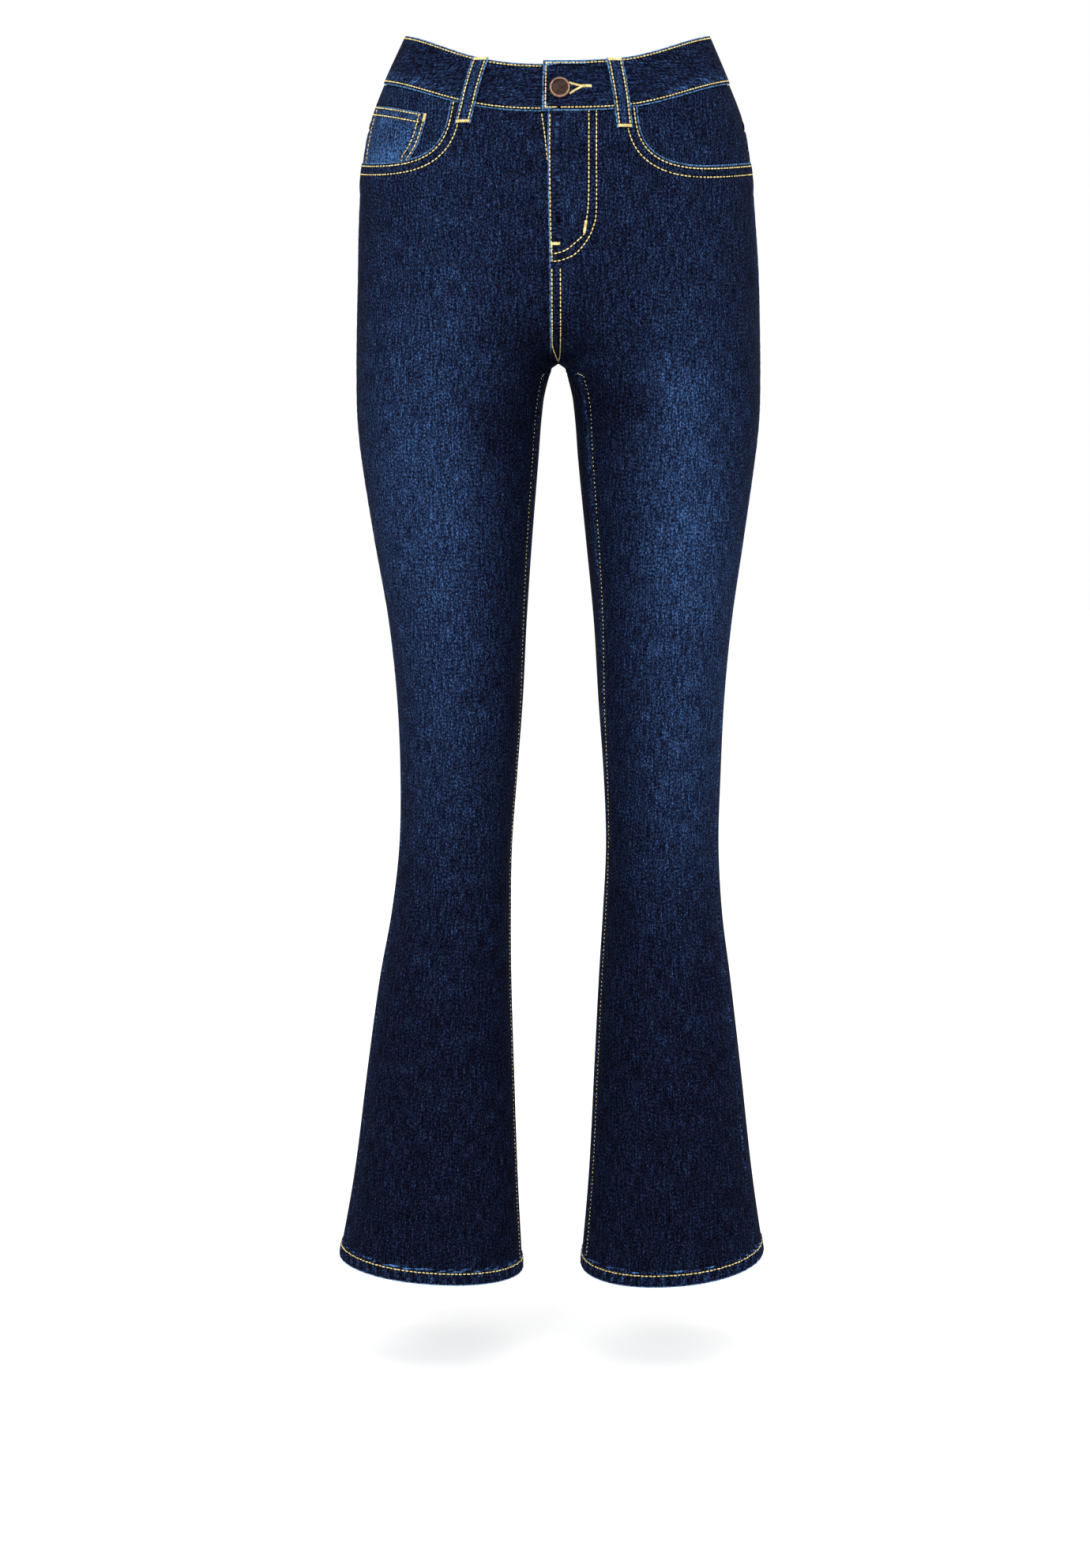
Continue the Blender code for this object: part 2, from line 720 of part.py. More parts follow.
def build_back(side, tag, material):
    lattice = back_lattice(side)
    yoke_end = len(YOKE_ROWS) - 1
    outer, pocket, _ = BACK_CELLS

    def proud(w, z):
        return hem_proud(side, w, z)

    def cloth(w, z):
        return CLOTH + hem_proud(side, w, z)

    panel(f"yoke_{tag}", side, lattice[: yoke_end + 1], proud, cloth, material, edge_x=0.00015)
    panel(f"back_{tag}", side, lattice[yoke_end:], proud, cloth, material, edge_x=0.00015)
    rows = lattice[yoke_end + 1 : yoke_end + POCKET_ROWS + 2]
    patch = [row[outer : outer + pocket + 1] for row in rows]
    panel(
        f"back_pocket_{tag}",
        side,
        patch,
        lambda w, z: CLOTH + LAYER_GAP,
        lambda w, z: CLOTH,
        material,
    )


def band_lift(x):
    """How far the waistband's left end stands off where it laps over the right end."""
    return BAND_LIFT * (1.0 - ease(BAND_UNDER + 0.003, 0.070, x))


def band_stations():
    """(side, w, lift) round the waistband, from its under end to its top end."""
    front_x = (-BAND_UNDER, -0.012, 0.0, 0.013, 0.028, 0.044)
    level = band_seam(1.0)
    stations = [(-1, share_from_x(x, level), 0.0) for x in front_x]
    start = stations[-1][1]
    stations += [(-1, mix(start, -1.0, k / 26.0), 0.0) for k in range(1, 27)]
    hole = BUTTON_HOLE / 2.0
    end_x = (0.072, 0.057, 0.044, 0.030, 0.017, BUTTON_X + hole, BUTTON_X - hole, -BAND_OVER)
    end = share_from_x(end_x[0], level)
    stations += [(1, mix(-1.0, end, k / 25.0), 0.0) for k in range(1, 25)]
    stations += [(1, share_from_x(x, level), band_lift(x)) for x in end_x]
    return stations


def build_band(material):
    height = waist_top(1, 1.0) - band_foot(1.0)
    hole = BUTTON_HOLE / 2.0
    shares = (0.0, (BUTTON_DROP - hole) / height, (BUTTON_DROP + hole) / height, 1.0)
    stations = band_stations()
    outer = grid(len(shares), len(stations))
    inner = grid(len(shares), len(stations))
    for i, share in enumerate(shares):
        for j, (side, w, lift) in enumerate(stations):
            z = mix(waist_top(side, w), band_foot(w), share)
            proud = BAND_PROUD + lift
            outer[i][j] = place(side, w, z, proud)
            inner[i][j] = place(side, w, z, proud - BAND_CLOTH)
    cells = all_cells(outer)
    cells.discard((1, len(stations) - 3))
    wall("waistband", outer, inner, cells, material)


# Where each belt loop is sewn: the girth shares of its top and its foot.
Loop = namedtuple("Loop", "name side top foot")
LOOPS = (
    Loop("belt_loop_front_right", -1, 0.791, 0.762),
    Loop("belt_loop_front_left", 1, 0.869, 0.858),
    Loop("belt_loop_side_right", -1, -0.330, -0.330),
    Loop("belt_loop_side_left", 1, -0.330, -0.330),
    Loop("belt_loop_centre", 1, -1.0, -1.0),
)


def loop_profile():
    """(drop under the waist edge, height over the band, height over the panel) down a loop."""
    clear = LAYER_GAP
    spring = clear + LOOP_SPRING
    return (
        (0.0008, clear, None),
        (0.0050, clear + 0.4 * LOOP_SPRING, None),
        (0.0120, spring, None),
        (0.0220, spring, None),
        (0.0320, 0.8 * spring, None),
        (BAND_HEIGHT - 0.0010, clear, None),
        (BAND_HEIGHT + 0.0012, clear, None),
        (BAND_HEIGHT + 0.0048, None, LOOP_CLEAR),
        (BAND_HEIGHT + LOOP_BELOW, None, LOOP_CLEAR),
    )


def loop_level(side, w, drop):
    """Level at a drop down a loop, whose first part spans the waistband."""
    top = waist_top(side, w)
    foot = band_foot(w)
    return mix(top, foot, drop / BAND_HEIGHT) if drop < BAND_HEIGHT else foot - drop + BAND_HEIGHT


def build_loop(loop, material):
    profile = loop_profile()
    outer = grid(len(profile), 3)
    inner = grid(len(profile), 3)
    length = BAND_HEIGHT + LOOP_BELOW
    for i, (drop, over_band, over_panel) in enumerate(profile):
        middle = mix(loop.top, loop.foot, drop / length)
        z = loop_level(loop.side, middle, drop)
        here = place(loop.side, middle, z, 0.0)
        near = place(loop.side, middle * 0.98, z, 0.0)
        per_metre = 0.02 * abs(middle) / (near - here).length
        for j, across in enumerate((-1.0, 0.0, 1.0)):
            w = middle + across * LOOP_WIDTH / 2.0 * per_metre
            if abs(middle) == 1.0:
                w = middle_share(across * LOOP_WIDTH / 2.0, z)
            x = surface_point(w, z).x
            if over_panel is None:
                lift = band_lift(x) if loop.side == 1 and w > 0.0 else 0.0
                proud = BAND_PROUD + lift + over_band
            else:
                base = front_proud(loop.side, w, z) if w > 0.0 else 0.0
                proud = base + over_panel
            outer[i][j] = place(loop.side, w, z, proud + LOOP_CLOTH)
            inner[i][j] = place(loop.side, w, z, proud)
    wall(loop.name, outer, inner, all_cells(outer), material)


def middle_share(x, z):
    """Girth share at the centre back, going on past it where x is under 0."""
    share = -share_from_x(abs(x), z, -1)
    return share if x >= 0.0 else -2.0 - share


def fly_levels(first_drop, last, count):
    top = band_seam(1.0) - first_drop
    return [mix(top, last, k / (count - 1)) for k in range(count)]


def build_fly(denim, brass):
    """The zip behind the lapped edge and the shield behind the zip, on the wearer's left half."""
    zip_back = -CLOTH - LAYER_GAP - ZIP_CLOTH
    levels = fly_levels(0.003, FLY_END + 0.008, 9)
    levels.insert(1, levels[0] - SLIDER_LENGTH)
    levels.insert(2, levels[1] - 0.0012)
    columns = (ZIP_EDGE[0], ZIP_CHAIN[0] - 0.0006, ZIP_CHAIN[0], ZIP_CHAIN[1], ZIP_CHAIN[1] + 0.0006, ZIP_EDGE[1])
    chain = (2, 3)
    outer = grid(len(levels), len(columns))
    inner = grid(len(levels), len(columns))
    for i, z in enumerate(levels):
        for j, x in enumerate(columns):
            w = share_from_x(x, z)
            raised = 0.0007 if j in chain else 0.0
            slider = 0.0005 if j in chain and i < 2 else 0.0
            outer[i][j] = place(1, w, z, zip_back + ZIP_CLOTH + raised + slider)
            inner[i][j] = place(1, w, z, zip_back - slider)
    wall("zip", outer, inner, all_cells(outer), brass)
    shield_front = zip_back - 0.0005 - LAYER_GAP
    levels = fly_levels(0.0, FLY_END, 9)
    columns = [mix(*SHIELD_EDGE, k / 4.0) for k in range(5)]
    lattice = [[(share_from_x(x, z), z) for x in columns] for z in levels]
    panel(
        "fly_shield",
        1,
        lattice,
        lambda w, z: shield_front,
        lambda w, z: SHIELD_CLOTH,
        denim,
    )


def build_button(material):
    """A tack button: a turned cap on a shank through the waistband's left end."""
    z = waist_top(1, 1.0) - BUTTON_DROP
    share = share_from_x(BUTTON_X, z)
    centre = place(1, share, z, 0.0)
    axis = (place(1, share, z, 0.01) - centre).normalized()
    across = axis.cross(Vector((0.0, 0.0, 1.0))).normalized()
    up = across.cross(axis)
    foot = BAND_PROUD + SEAM_GAP
    seat = BAND_PROUD + BAND_LIFT + SEAM_GAP
    rim = seat + BUTTON_HEIGHT
    profile = (
        (SHANK_RADIUS, foot),
        (SHANK_RADIUS, seat),
        (BUTTON_RADIUS - 0.0008, seat),
        (BUTTON_RADIUS, seat + 0.0009),
        (BUTTON_RADIUS, rim - 0.0009),
        (BUTTON_RADIUS - 0.0005, rim - 0.0002),
        (BUTTON_RADIUS - 0.0012, rim),
        (BUTTON_RADIUS - 0.0019, rim - 0.0006),
        (BUTTON_RADIUS * 0.5, rim - 0.0004),
    )
    vertices = []
    for radius, height in profile:
        for k in range(BUTTON_SIDES):
            turn = 2.0 * math.pi * k / BUTTON_SIDES
            spoke = across * math.cos(turn) + up * math.sin(turn)
            vertices.append(centre + axis * height + spoke * radius)
    faces = []
    for ring in range(len(profile) - 1):
        for k in range(BUTTON_SIDES):
            a = ring * BUTTON_SIDES + k
            b = ring * BUTTON_SIDES + (k + 1) % BUTTON_SIDES
            faces.append([a, b, b + BUTTON_SIDES, a + BUTTON_SIDES])
    last = (len(profile) - 1) * BUTTON_SIDES
    for start, rim_order in ((0, -1), (last, 1)):
        middle = len(vertices)
        height = foot if start == 0 else rim - 0.0003
        vertices.append(centre + axis * height)
        for k in range(BUTTON_SIDES):
            a = start + k
            b = start + (k + 1) % BUTTON_SIDES
            faces.append([a, b, middle][::rim_order])
    finish_mesh("button", vertices, faces, material)


def make_material(name, finish):
    material = bpy.data.materials.new(name)
    material.use_nodes = True
    shader = material.node_tree.nodes["Principled BSDF"]
    shader.inputs["Base Color"].default_value = finish.colour
    shader.inputs["Roughness"].default_value = finish.rough
    shader.inputs["Metallic"].default_value = finish.metal
    return material


def clear_scene():
    for thing in list(bpy.data.objects):
        bpy.data.objects.remove(thing, do_unlink=True)


def main():
    clear_scene()
    denim = make_material("denim", DENIM)
    faded = make_material("denim_faded", DENIM_FADED)
    copper = make_material("copper", COPPER)
    brass = make_material("zip_brass", ZIP_BRASS)
    for side, tag in ((1, "left"), (-1, "right")):
        build_front(side, f"front_{tag}", denim)
        build_bearer(side, f"hip_facing_{tag}", faded)
        build_back(side, tag, denim)
    build_band(denim)
    for loop in LOOPS:
        build_loop(loop, faded)
    build_fly(denim, brass)
    build_button(copper)


main()
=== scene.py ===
"""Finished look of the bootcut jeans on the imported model.

Metres, +Z up, the front faces -Y and the wearer's left is at +X. Every piece of cloth lies on the
same surface as its solid: a place is a side (+1 wearer's left, -1 right), a girth share w and a
level z, where w is 0 at the widest point of the side, 1 at the centre front and -1 at the centre
back, and below the crotch 1 and -1 are both the inside of the leg.
"""

import math
from collections import namedtuple
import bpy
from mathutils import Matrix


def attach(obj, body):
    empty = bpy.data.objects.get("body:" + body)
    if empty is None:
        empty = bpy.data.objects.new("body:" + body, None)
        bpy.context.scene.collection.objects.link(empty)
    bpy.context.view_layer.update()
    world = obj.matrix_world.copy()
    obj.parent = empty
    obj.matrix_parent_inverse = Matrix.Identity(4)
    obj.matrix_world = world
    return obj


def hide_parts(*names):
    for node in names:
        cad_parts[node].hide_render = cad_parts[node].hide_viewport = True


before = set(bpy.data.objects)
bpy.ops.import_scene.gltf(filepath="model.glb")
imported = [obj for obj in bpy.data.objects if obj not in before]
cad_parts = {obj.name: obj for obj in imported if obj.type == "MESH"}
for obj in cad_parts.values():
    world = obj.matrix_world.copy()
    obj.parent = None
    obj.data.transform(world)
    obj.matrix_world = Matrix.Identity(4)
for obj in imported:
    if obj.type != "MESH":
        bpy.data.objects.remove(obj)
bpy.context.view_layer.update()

from types import SimpleNamespace

import bpy
import numpy as np
from mathutils import Vector, kdtree

# Cloth and seams. CLOTH is the solid's wall and SHELL is the thickness that shows.
CLOTH = 0.0015
SHELL = 0.0011
LAYER_GAP = 0.0004
ALLOWANCE = 0.0032
BORDER_DRAWN_IN = 0.00015

# Hems: the turned depth, its step, the row of stitches over the edge, and the roping
HEM_DEPTH = 0.0115
HEM_EXTRA = 0.0008
HEM_STEP_FADE = 0.0012
HEM_ROW = 0.0105
HEM_SHARES_LEVEL = -1.08
HEM_SEAM_END = 0.003
ROPE_PITCH = 0.0092
ROPE_HEIGHT = 0.00035
ROPE_GIRTH = 0.236

# Waistband
BAND_HEIGHT = 0.0405
BAND_PROUD = 0.0010
WAIST_TILT = 0.0166
WAIST_DIP = {-1: 0.0213, 1: 0.0192}
SEAM_DIP = 0.0204
WAIST_DIP_BACK = 0.0310
WAIST_DIP_POWER = 4.5
WAIST_DIP_POWER_BACK = 2.5
BAND_LIFT = 0.0029
BAND_OVER = 0.013
BAND_UNDER = 0.026
BAND_SEAM_GAP = 0.0002

# Crotch and seams down the legs
CROTCH_LEVEL = -0.278
CROTCH_FILLET = 0.008
SEAT_FILLET = 0.020
FRONT_CURVE = 0.065
BACK_CURVE = 0.085
CURVE_ONSET = 0.40
GAP_OPENING = 0.050
GAP_ARCH = 0.030
ARCH_POWER = 0.2
ARCH_REACH = 0.045
GAP_LEAST = 0.009
SIDE_TURN = {-1: (6.0, 18.0), 1: (9.0, 26.0)}
SIDE_TURN_LEVELS = (-0.20, -0.75)
INSEAM_TURN = {-1: (0.09, 0.04), 1: (0.155, 0.07)}
INSEAM_TURN_DEPTH = 0.014
INSEAM_ROW = (0.0042, 0.0030)
HEM_LEVEL = {-1: -1.0787, 1: -1.0745}
HEM_TILT = 0.007
HEM_FRONT_DROP = {-1: 0.0022, 1: 0.0084}

# Fly
FLY_OVER = 0.008
FLY_UNDER = 0.006
FLY_LIFT = CLOTH + 0.0004
FLY_FLAT = 0.010
FLY_WIDTH = 0.034
FLY_SEAM_WIDTH = 0.018
FLY_END = -0.200
FRONT_EDGE = 0.030
RISE_ROWS_END = -0.2045

# Scoop pocket mouth, its bearer and the coin pocket
MOUTH_END = {-1: 0.697, 1: 0.808}
MOUTH_DEPTH = 0.0647
MOUTH_ROUND = 3.05
MOUTH_CORNER = 0.70
MOUTH_ROW_AT_FRONT = 0.050
MOUTH_LIFT = 0.0014
MOUTH_LIFT_FADE = 0.034
MOUTH_ROWS = (0.0030, 0.0100)
COIN_CLOTH = 0.0010
COIN_TOP = 0.26
COIN_REACH = 0.835

# Back yoke, its twin rows of stitches, and patch pockets
TWIN_ROWS = (0.0022, 0.0085)
YOKE_SIDE = 0.038
YOKE_CENTRE = 0.066
POCKET_AT_SHARE = -0.85
POCKET_INNER_X = (0.041, 0.046)
POCKET_OUTER_SHARE = (0.235, 0.262)
POCKET_BELOW_YOKE = 0.021
POCKET_HEIGHT = 0.116
POCKET_POINT = 0.022

# Belt loops, with the ridge down their middle as (wear, width). A Loop has a name, a side, and the
# girth shares of its top and its foot.
LOOP_SHOWN = 0.0132
LOOP_CLOTH = 0.0018
LOOP_SPRING = 0.0020
LOOP_BELOW = 0.0160
LOOP_CLEAR = 0.0006
LOOP_EDGE_DROP = 0.0004
LOOP_RIDGE = (0.45, 0.0022)
Loop = namedtuple("Loop", "name side top foot")
LOOPS = (
    Loop("belt_loop_front_right", -1, 0.791, 0.762),
    Loop("belt_loop_front_left", 1, 0.869, 0.858),
    Loop("belt_loop_side_right", -1, -0.330, -0.330),
    Loop("belt_loop_side_left", 1, -0.330, -0.330),
    Loop("belt_loop_centre", 1, -1.0, -1.0),
)

# Button
BUTTON_X = 0.0020
BUTTON_DROP = 0.0234
BUTTON_RADIUS = 0.0085
BUTTON_HEIGHT = 0.0030
BUTTON_SIDES = 64

# The form: half widths, depths, squareness and sideways sway at each level
Section = namedtuple("Section", "z side inseam front back square sway")
SECTIONS = (
    Section(0.012, 0.1230, 0.000, 0.0866, 0.0812, 2.25, -0.0008),
    Section(0.000, 0.1285, 0.000, 0.0890, 0.0850, 2.25, -0.0008),
    Section(-0.040, 0.1470, 0.000, 0.0970, 0.0980, 2.25, -0.0015),
    Section(-0.075, 0.1606, 0.000, 0.1030, 0.1120, 2.28, -0.0014),
    Section(-0.115, 0.1678, 0.000, 0.1060, 0.1240, 2.30, -0.0016),
    Section(-0.160, 0.1716, 0.000, 0.1075, 0.1315, 2.30, -0.0010),
    Section(-0.205, 0.1738, 0.000, 0.1070, 0.1320, 2.28, 0.0000),
    Section(-0.245, 0.1748, 0.000, 0.1055, 0.1255, 2.25, 0.0000),
    Section(-0.290, 0.1752, 0.010, 0.1040, 0.1120, 2.20, 0.0000),
    Section(-0.325, 0.1745, 0.0145, 0.1030, 0.1010, 2.15, 0.0000),
    Section(-0.360, 0.1712, 0.0172, 0.1005, 0.0935, 2.12, 0.0000),
    Section(-0.430, 0.1612, 0.0235, 0.0940, 0.0850, 2.10, 0.0007),
    Section(-0.500, 0.1505, 0.0293, 0.0860, 0.0780, 2.10, 0.0018),
    Section(-0.570, 0.1440, 0.0332, 0.0785, 0.0710, 2.10, 0.0022),
    Section(-0.640, 0.1415, 0.0384, 0.0715, 0.0665, 2.10, 0.0020),
    Section(-0.700, 0.1417, 0.0417, 0.0665, 0.0665, 2.10, 0.0008),
    Section(-0.760, 0.1472, 0.0410, 0.0635, 0.0690, 2.10, -0.0010),
    Section(-0.820, 0.1567, 0.0391, 0.0625, 0.0715, 2.10, -0.0026),
    Section(-0.900, 0.1672, 0.0361, 0.0635, 0.0725, 2.10, -0.0034),
    Section(-1.000, 0.1795, 0.0320, 0.0665, 0.0710, 2.10, -0.0042),
    Section(-1.090, 0.1945, 0.0260, 0.0700, 0.0685, 2.10, -0.0057),
)
MIDDLE_SHARE = 0.35

# Folds as soft ridges (+) and troughs (-): where their middles lie, how long and how wide they are
# across the cloth, how high, and how far they turn from level, in degrees. The first twelve are the
# solids' own, the rest are the finer creases.
Fold = namedtuple("Fold", "side share z length width height turn")
FOLDS = (
    Fold(-1, 0.74, -0.262, 0.060, 0.012, 0.0022, 28),
    Fold(-1, 0.62, -0.292, 0.055, 0.013, -0.0020, 24),
    Fold(1, 0.76, -0.258, 0.060, 0.012, 0.0022, -30),
    Fold(1, 0.64, -0.290, 0.055, 0.013, -0.0018, -24),
    Fold(-1, -0.70, -0.318, 0.070, 0.014, -0.0030, -16),
    Fold(1, -0.70, -0.322, 0.070, 0.014, -0.0030, 16),
    Fold(-1, -0.62, -0.350, 0.060, 0.014, 0.0024, -10),
    Fold(1, -0.60, -0.356, 0.060, 0.014, 0.0024, 10),
    Fold(-1, -0.52, -0.640, 0.050, 0.014, -0.0030, 12),
    Fold(1, -0.50, -0.648, 0.050, 0.014, -0.0030, -12),
    Fold(-1, -0.55, -0.690, 0.050, 0.014, 0.0024, -8),
    Fold(1, -0.52, -0.694, 0.050, 0.014, 0.0024, 8),
    Fold(-1, 0.80, -0.236, 0.040, 0.005, 0.0006, 34),
    Fold(-1, 0.55, -0.312, 0.045, 0.007, 0.0006, 18),
    Fold(1, 0.82, -0.232, 0.040, 0.005, 0.0006, -36),
    Fold(1, 0.52, -0.316, 0.045, 0.007, 0.0005, -16),
    Fold(-1, -0.76, -0.300, 0.045, 0.006, -0.0008, -26),
    Fold(1, -0.78, -0.304, 0.045, 0.006, -0.0008, 24),
    Fold(-1, -0.48, -0.376, 0.050, 0.008, -0.0007, -6),
    Fold(1, -0.46, -0.384, 0.050, 0.008, -0.0007, 8),
    Fold(-1, -0.44, -0.664, 0.035, 0.007, 0.0008, 16),
    Fold(1, -0.42, -0.670, 0.035, 0.007, 0.0008, -14),
    Fold(-1, 0.42, -0.655, 0.045, 0.012, -0.0006, -8),
    Fold(1, 0.46, -0.662, 0.045, 0.012, -0.0006, 8),
    Fold(-1, 0.80, -0.690, 0.040, 0.010, 0.0007, 14),
    Fold(1, 0.78, -0.700, 0.040, 0.010, 0.0007, -14),
    Fold(-1, 0.30, -0.205, 0.050, 0.010, 0.0005, 64),
    Fold(1, 0.34, -0.196, 0.050, 0.010, 0.0005, -60),
)


def mix(first, last, share):
    return first + (last - first) * share


def ease(start, end, value):
    """0 at start, 1 at end, smooth between."""
    t = np.clip((value - start) / (end - start), 0.0, 1.0)
    return t * t * (3.0 - 2.0 * t)


def section(name, z):
    """A column of the sections at levels z, on a smooth curve through its rows."""
    levels = np.array([row.z for row in SECTIONS])[::-1]
    values = np.array([getattr(row, name) for row in SECTIONS])[::-1]
    slopes = np.gradient(values)
    slopes[1:-1] = (values[2:] - values[:-2]) / (levels[2:] - levels[:-2])
    slopes[0] = (values[1] - values[0]) / (levels[1] - levels[0])
    slopes[-1] = (values[-1] - values[-2]) / (levels[-1] - levels[-2])
    z = np.clip(z, levels[0], levels[-1])
    k = np.clip(np.searchsorted(levels, z, side="right") - 1, 0, len(levels) - 2)
    step = levels[k + 1] - levels[k]
    t = (z - levels[k]) / step
    return (
        values[k] * (2 * t**3 - 3 * t**2 + 1)
        + slopes[k] * step * (t**3 - 2 * t**2 + t)
        + values[k + 1] * (3 * t**2 - 2 * t**3)
        + slopes[k + 1] * step * (t**3 - t**2)
    )


def section_at(z):
    """The garment's section at levels z, as the solids' source works it out."""
    s = SimpleNamespace()
    height = z - CROTCH_LEVEL
    front = -section("front", z)
    back = section("back", z)
    s.square = section("square", z)
    s.fillet = mix(CROTCH_FILLET, SEAT_FILLET, ease(0.0, FRONT_CURVE, height))
    s.middle = MIDDLE_SHARE * (front + back)
    s.front_depth = s.middle - front
    s.back_depth = back - s.middle
    s.far = np.hypot(section("side", z), s.fillet)
    gap = np.maximum(section("inseam", z), GAP_LEAST)
    inseam = gap * np.sqrt(ease(0.0, GAP_OPENING, -height))
    wanted = gap * np.clip(-height / GAP_ARCH, 0.0, 1.0) ** ARCH_POWER
    s.arch = np.maximum(wanted - inseam, 0.0) / (1.0 - inseam / ARCH_REACH) ** 2
    s.near = np.hypot(inseam, s.fillet)
    pinches = []
    for curve in (FRONT_CURVE, BACK_CURVE):
        t = np.clip(height / curve, 0.0, 1.0)
        joined = (2.0 * t - t * t) * ease(0.0, CURVE_ONSET, t)
        pinches.append((1.0 - joined) ** (1.0 / s.square))
    s.front_pinch, s.back_pinch = pinches
    return s


def oval(s, is_front):
    """Half width, centre and last angle of the oval on a face."""
    pinch = np.where(is_front, s.front_pinch, s.back_pinch)
    half = (s.far - s.near) / (1.0 + pinch)
    return half, s.near + pinch * half, np.arccos(-(pinch ** (s.square / 2.0)))


def narrowed(s, x):
    """Distance from the middle without the arch."""
    bend = np.maximum(s.arch, 1e-9) / ARCH_REACH**2
    slope = 1.0 - 2.0 * s.arch / ARCH_REACH
    root = np.sqrt(np.maximum(slope**2 + 4.0 * bend * (x - s.arch), 0.0))
    return np.where((s.arch < 1e-6) | (x >= ARCH_REACH), x, (root - slope) / (2.0 * bend))


def surface(w, z):
    """Points on the wearer's left half, before the sway. w past 1 or -1 goes on round."""
    w, z = np.broadcast_arrays(np.asarray(w, float), np.asarray(z, float))
    past = np.abs(w) > 1.0
    above = z >= CROTCH_LEVEL
    mirrored = past & above
    turned = np.where(mirrored, np.copysign(2.0, w) - w, np.where(past, w - np.copysign(2.0, w), w))
    s = section_at(z)
    is_front = turned >= 0.0
    half, centre, last = oval(s, is_front)
    angle = np.abs(turned) * last
    power = 2.0 / s.square
    cosine = np.cos(angle)
    distance = centre + half * np.sign(cosine) * np.abs(cosine) ** power
    x = np.sqrt(np.maximum(distance**2 - s.fillet**2, 0.0))
    x = x + s.arch * np.maximum(1.0 - x / ARCH_REACH, 0.0) ** 2
    depth = np.where(is_front, -s.front_depth, s.back_depth)
    y = s.middle + depth * np.maximum(np.sin(angle), 0.0) ** power
    return np.stack([np.where(mirrored, -x, x), y, z], axis=-1)


def outside(x, y, z):
    """Grows outwards, and is 1 on the surface."""
    s = section_at(z)
    is_front = y < s.middle
    half, centre, _ = oval(s, is_front)
    across = np.abs(np.hypot(narrowed(s, np.abs(x)), s.fillet) - centre) / half
    depth = np.where(is_front, s.front_depth, s.back_depth)
    away = np.abs(y - s.middle) / depth
    return across**s.square + away**s.square


def normals(points):
    x, y, z = np.moveaxis(points, -1, 0)
    step = 0.0006
    slope = np.stack(
        [
            outside(x + step, y, z) - outside(x - step, y, z),
            outside(x, y + step, z) - outside(x, y - step, z),
            outside(x, y, z + step) - outside(x, y, z - step),
        ],
        axis=-1,
    )
    return slope / np.linalg.norm(slope, axis=-1, keepdims=True)


def fold_height(side, w, z):
    """Height of the folds, which die out at the centre seams and at the inseam."""
    total = np.zeros(np.broadcast(w, z).shape)
    girth = mix(0.25, 0.20, ease(CROTCH_LEVEL, CROTCH_LEVEL + FRONT_CURVE, z))
    for fold in FOLDS:
        if fold.side != side:
            continue
        along = (w - fold.share) * girth
        up = z - fold.z
        turn = math.radians(fold.turn)
        length = (along * math.cos(turn) + up * math.sin(turn)) / fold.length
        width = (up * math.cos(turn) - along * math.sin(turn)) / fold.width
        total += fold.height * np.exp(-0.5 * (length**2 + width**2))
    return total * ease(1.0, 0.86, np.abs(w))


def place(side, w, z, proud=0.0):
    """Points on the garment this far outside its surface, and the surface's normals."""
    if np.ndim(side):
        both = [place(one, w, z, proud) for one in (1, -1)]
        is_left = (side > 0)[..., None]
        return tuple(np.where(is_left, first, last) for first, last in zip(*both))
    points = surface(w, z)
    out = normals(points)
    points = points + out * (proud + fold_height(side, w, z))[..., None]
    flip = np.array([side, 1.0, 1.0])
    points = points * flip
    points[..., 0] += section("sway", np.asarray(z, float))
    return points, out * flip


def share_from_x(x, z, is_front=True):
    """Girth share at a distance from the middle. Under 0 it is past the middle."""
    x, z = np.broadcast_arrays(np.asarray(x, float), np.asarray(z, float))
    s = section_at(z)
    half, centre, last = oval(s, is_front)
    across = np.clip((np.hypot(narrowed(s, np.abs(x)), s.fillet) - centre) / half, -1.0, 1.0)
    share = np.arccos(np.copysign(np.abs(across) ** (s.square / 2.0), across)) / last
    return np.where(x >= 0.0, share, 2.0 - share)


def waist_line(w, front_dip):
    """Level of a line round the waist that tilts forwards and dips at the front and the back."""
    w = np.asarray(w, float)
    s = np.sin(np.minimum(np.abs(w), 1.0) * np.pi / 2.0)
    front = -WAIST_TILT * s - front_dip * s**WAIST_DIP_POWER
    back = WAIST_TILT * s - WAIST_DIP_BACK * s**WAIST_DIP_POWER_BACK
    return np.where(w > 0.0, front, back)


def waist_top(side, w):
    return waist_line(w, WAIST_DIP[side])


def band_foot(w):
    return waist_line(w, SEAM_DIP) - BAND_HEIGHT


def band_seam(w):
    return band_foot(w) - BAND_SEAM_GAP


def side_share(side, z):
    """Girth share of the side seam, which lies a little in front of the widest point."""
    z = np.asarray(z, float)
    turn = np.radians(mix(*SIDE_TURN[side], ease(*SIDE_TURN_LEVELS, z)))
    return turn / oval(section_at(z), True)[2]


def hem_level(side, w):
    angle = np.asarray(w, float) * math.pi
    front_drop = HEM_FRONT_DROP[side] * np.sin(angle)
    return HEM_LEVEL[side] + HEM_TILT * np.cos(angle) - front_drop


def leg_level(side, w, t):
    return mix(CROTCH_LEVEL, hem_level(side, w), t)


def inseam_share(side, z):
    below = CROTCH_LEVEL - z
    turn = mix(*INSEAM_TURN[side], ease(0.14, 0.45, below))
    return 1.0 - turn * ease(0.0, INSEAM_TURN_DEPTH, below)


def lap_share(z):
    """1 along the fly and its seam, 0 at the crotch."""
    return ease(CROTCH_LEVEL + 0.0005, CROTCH_LEVEL + 0.008, z)


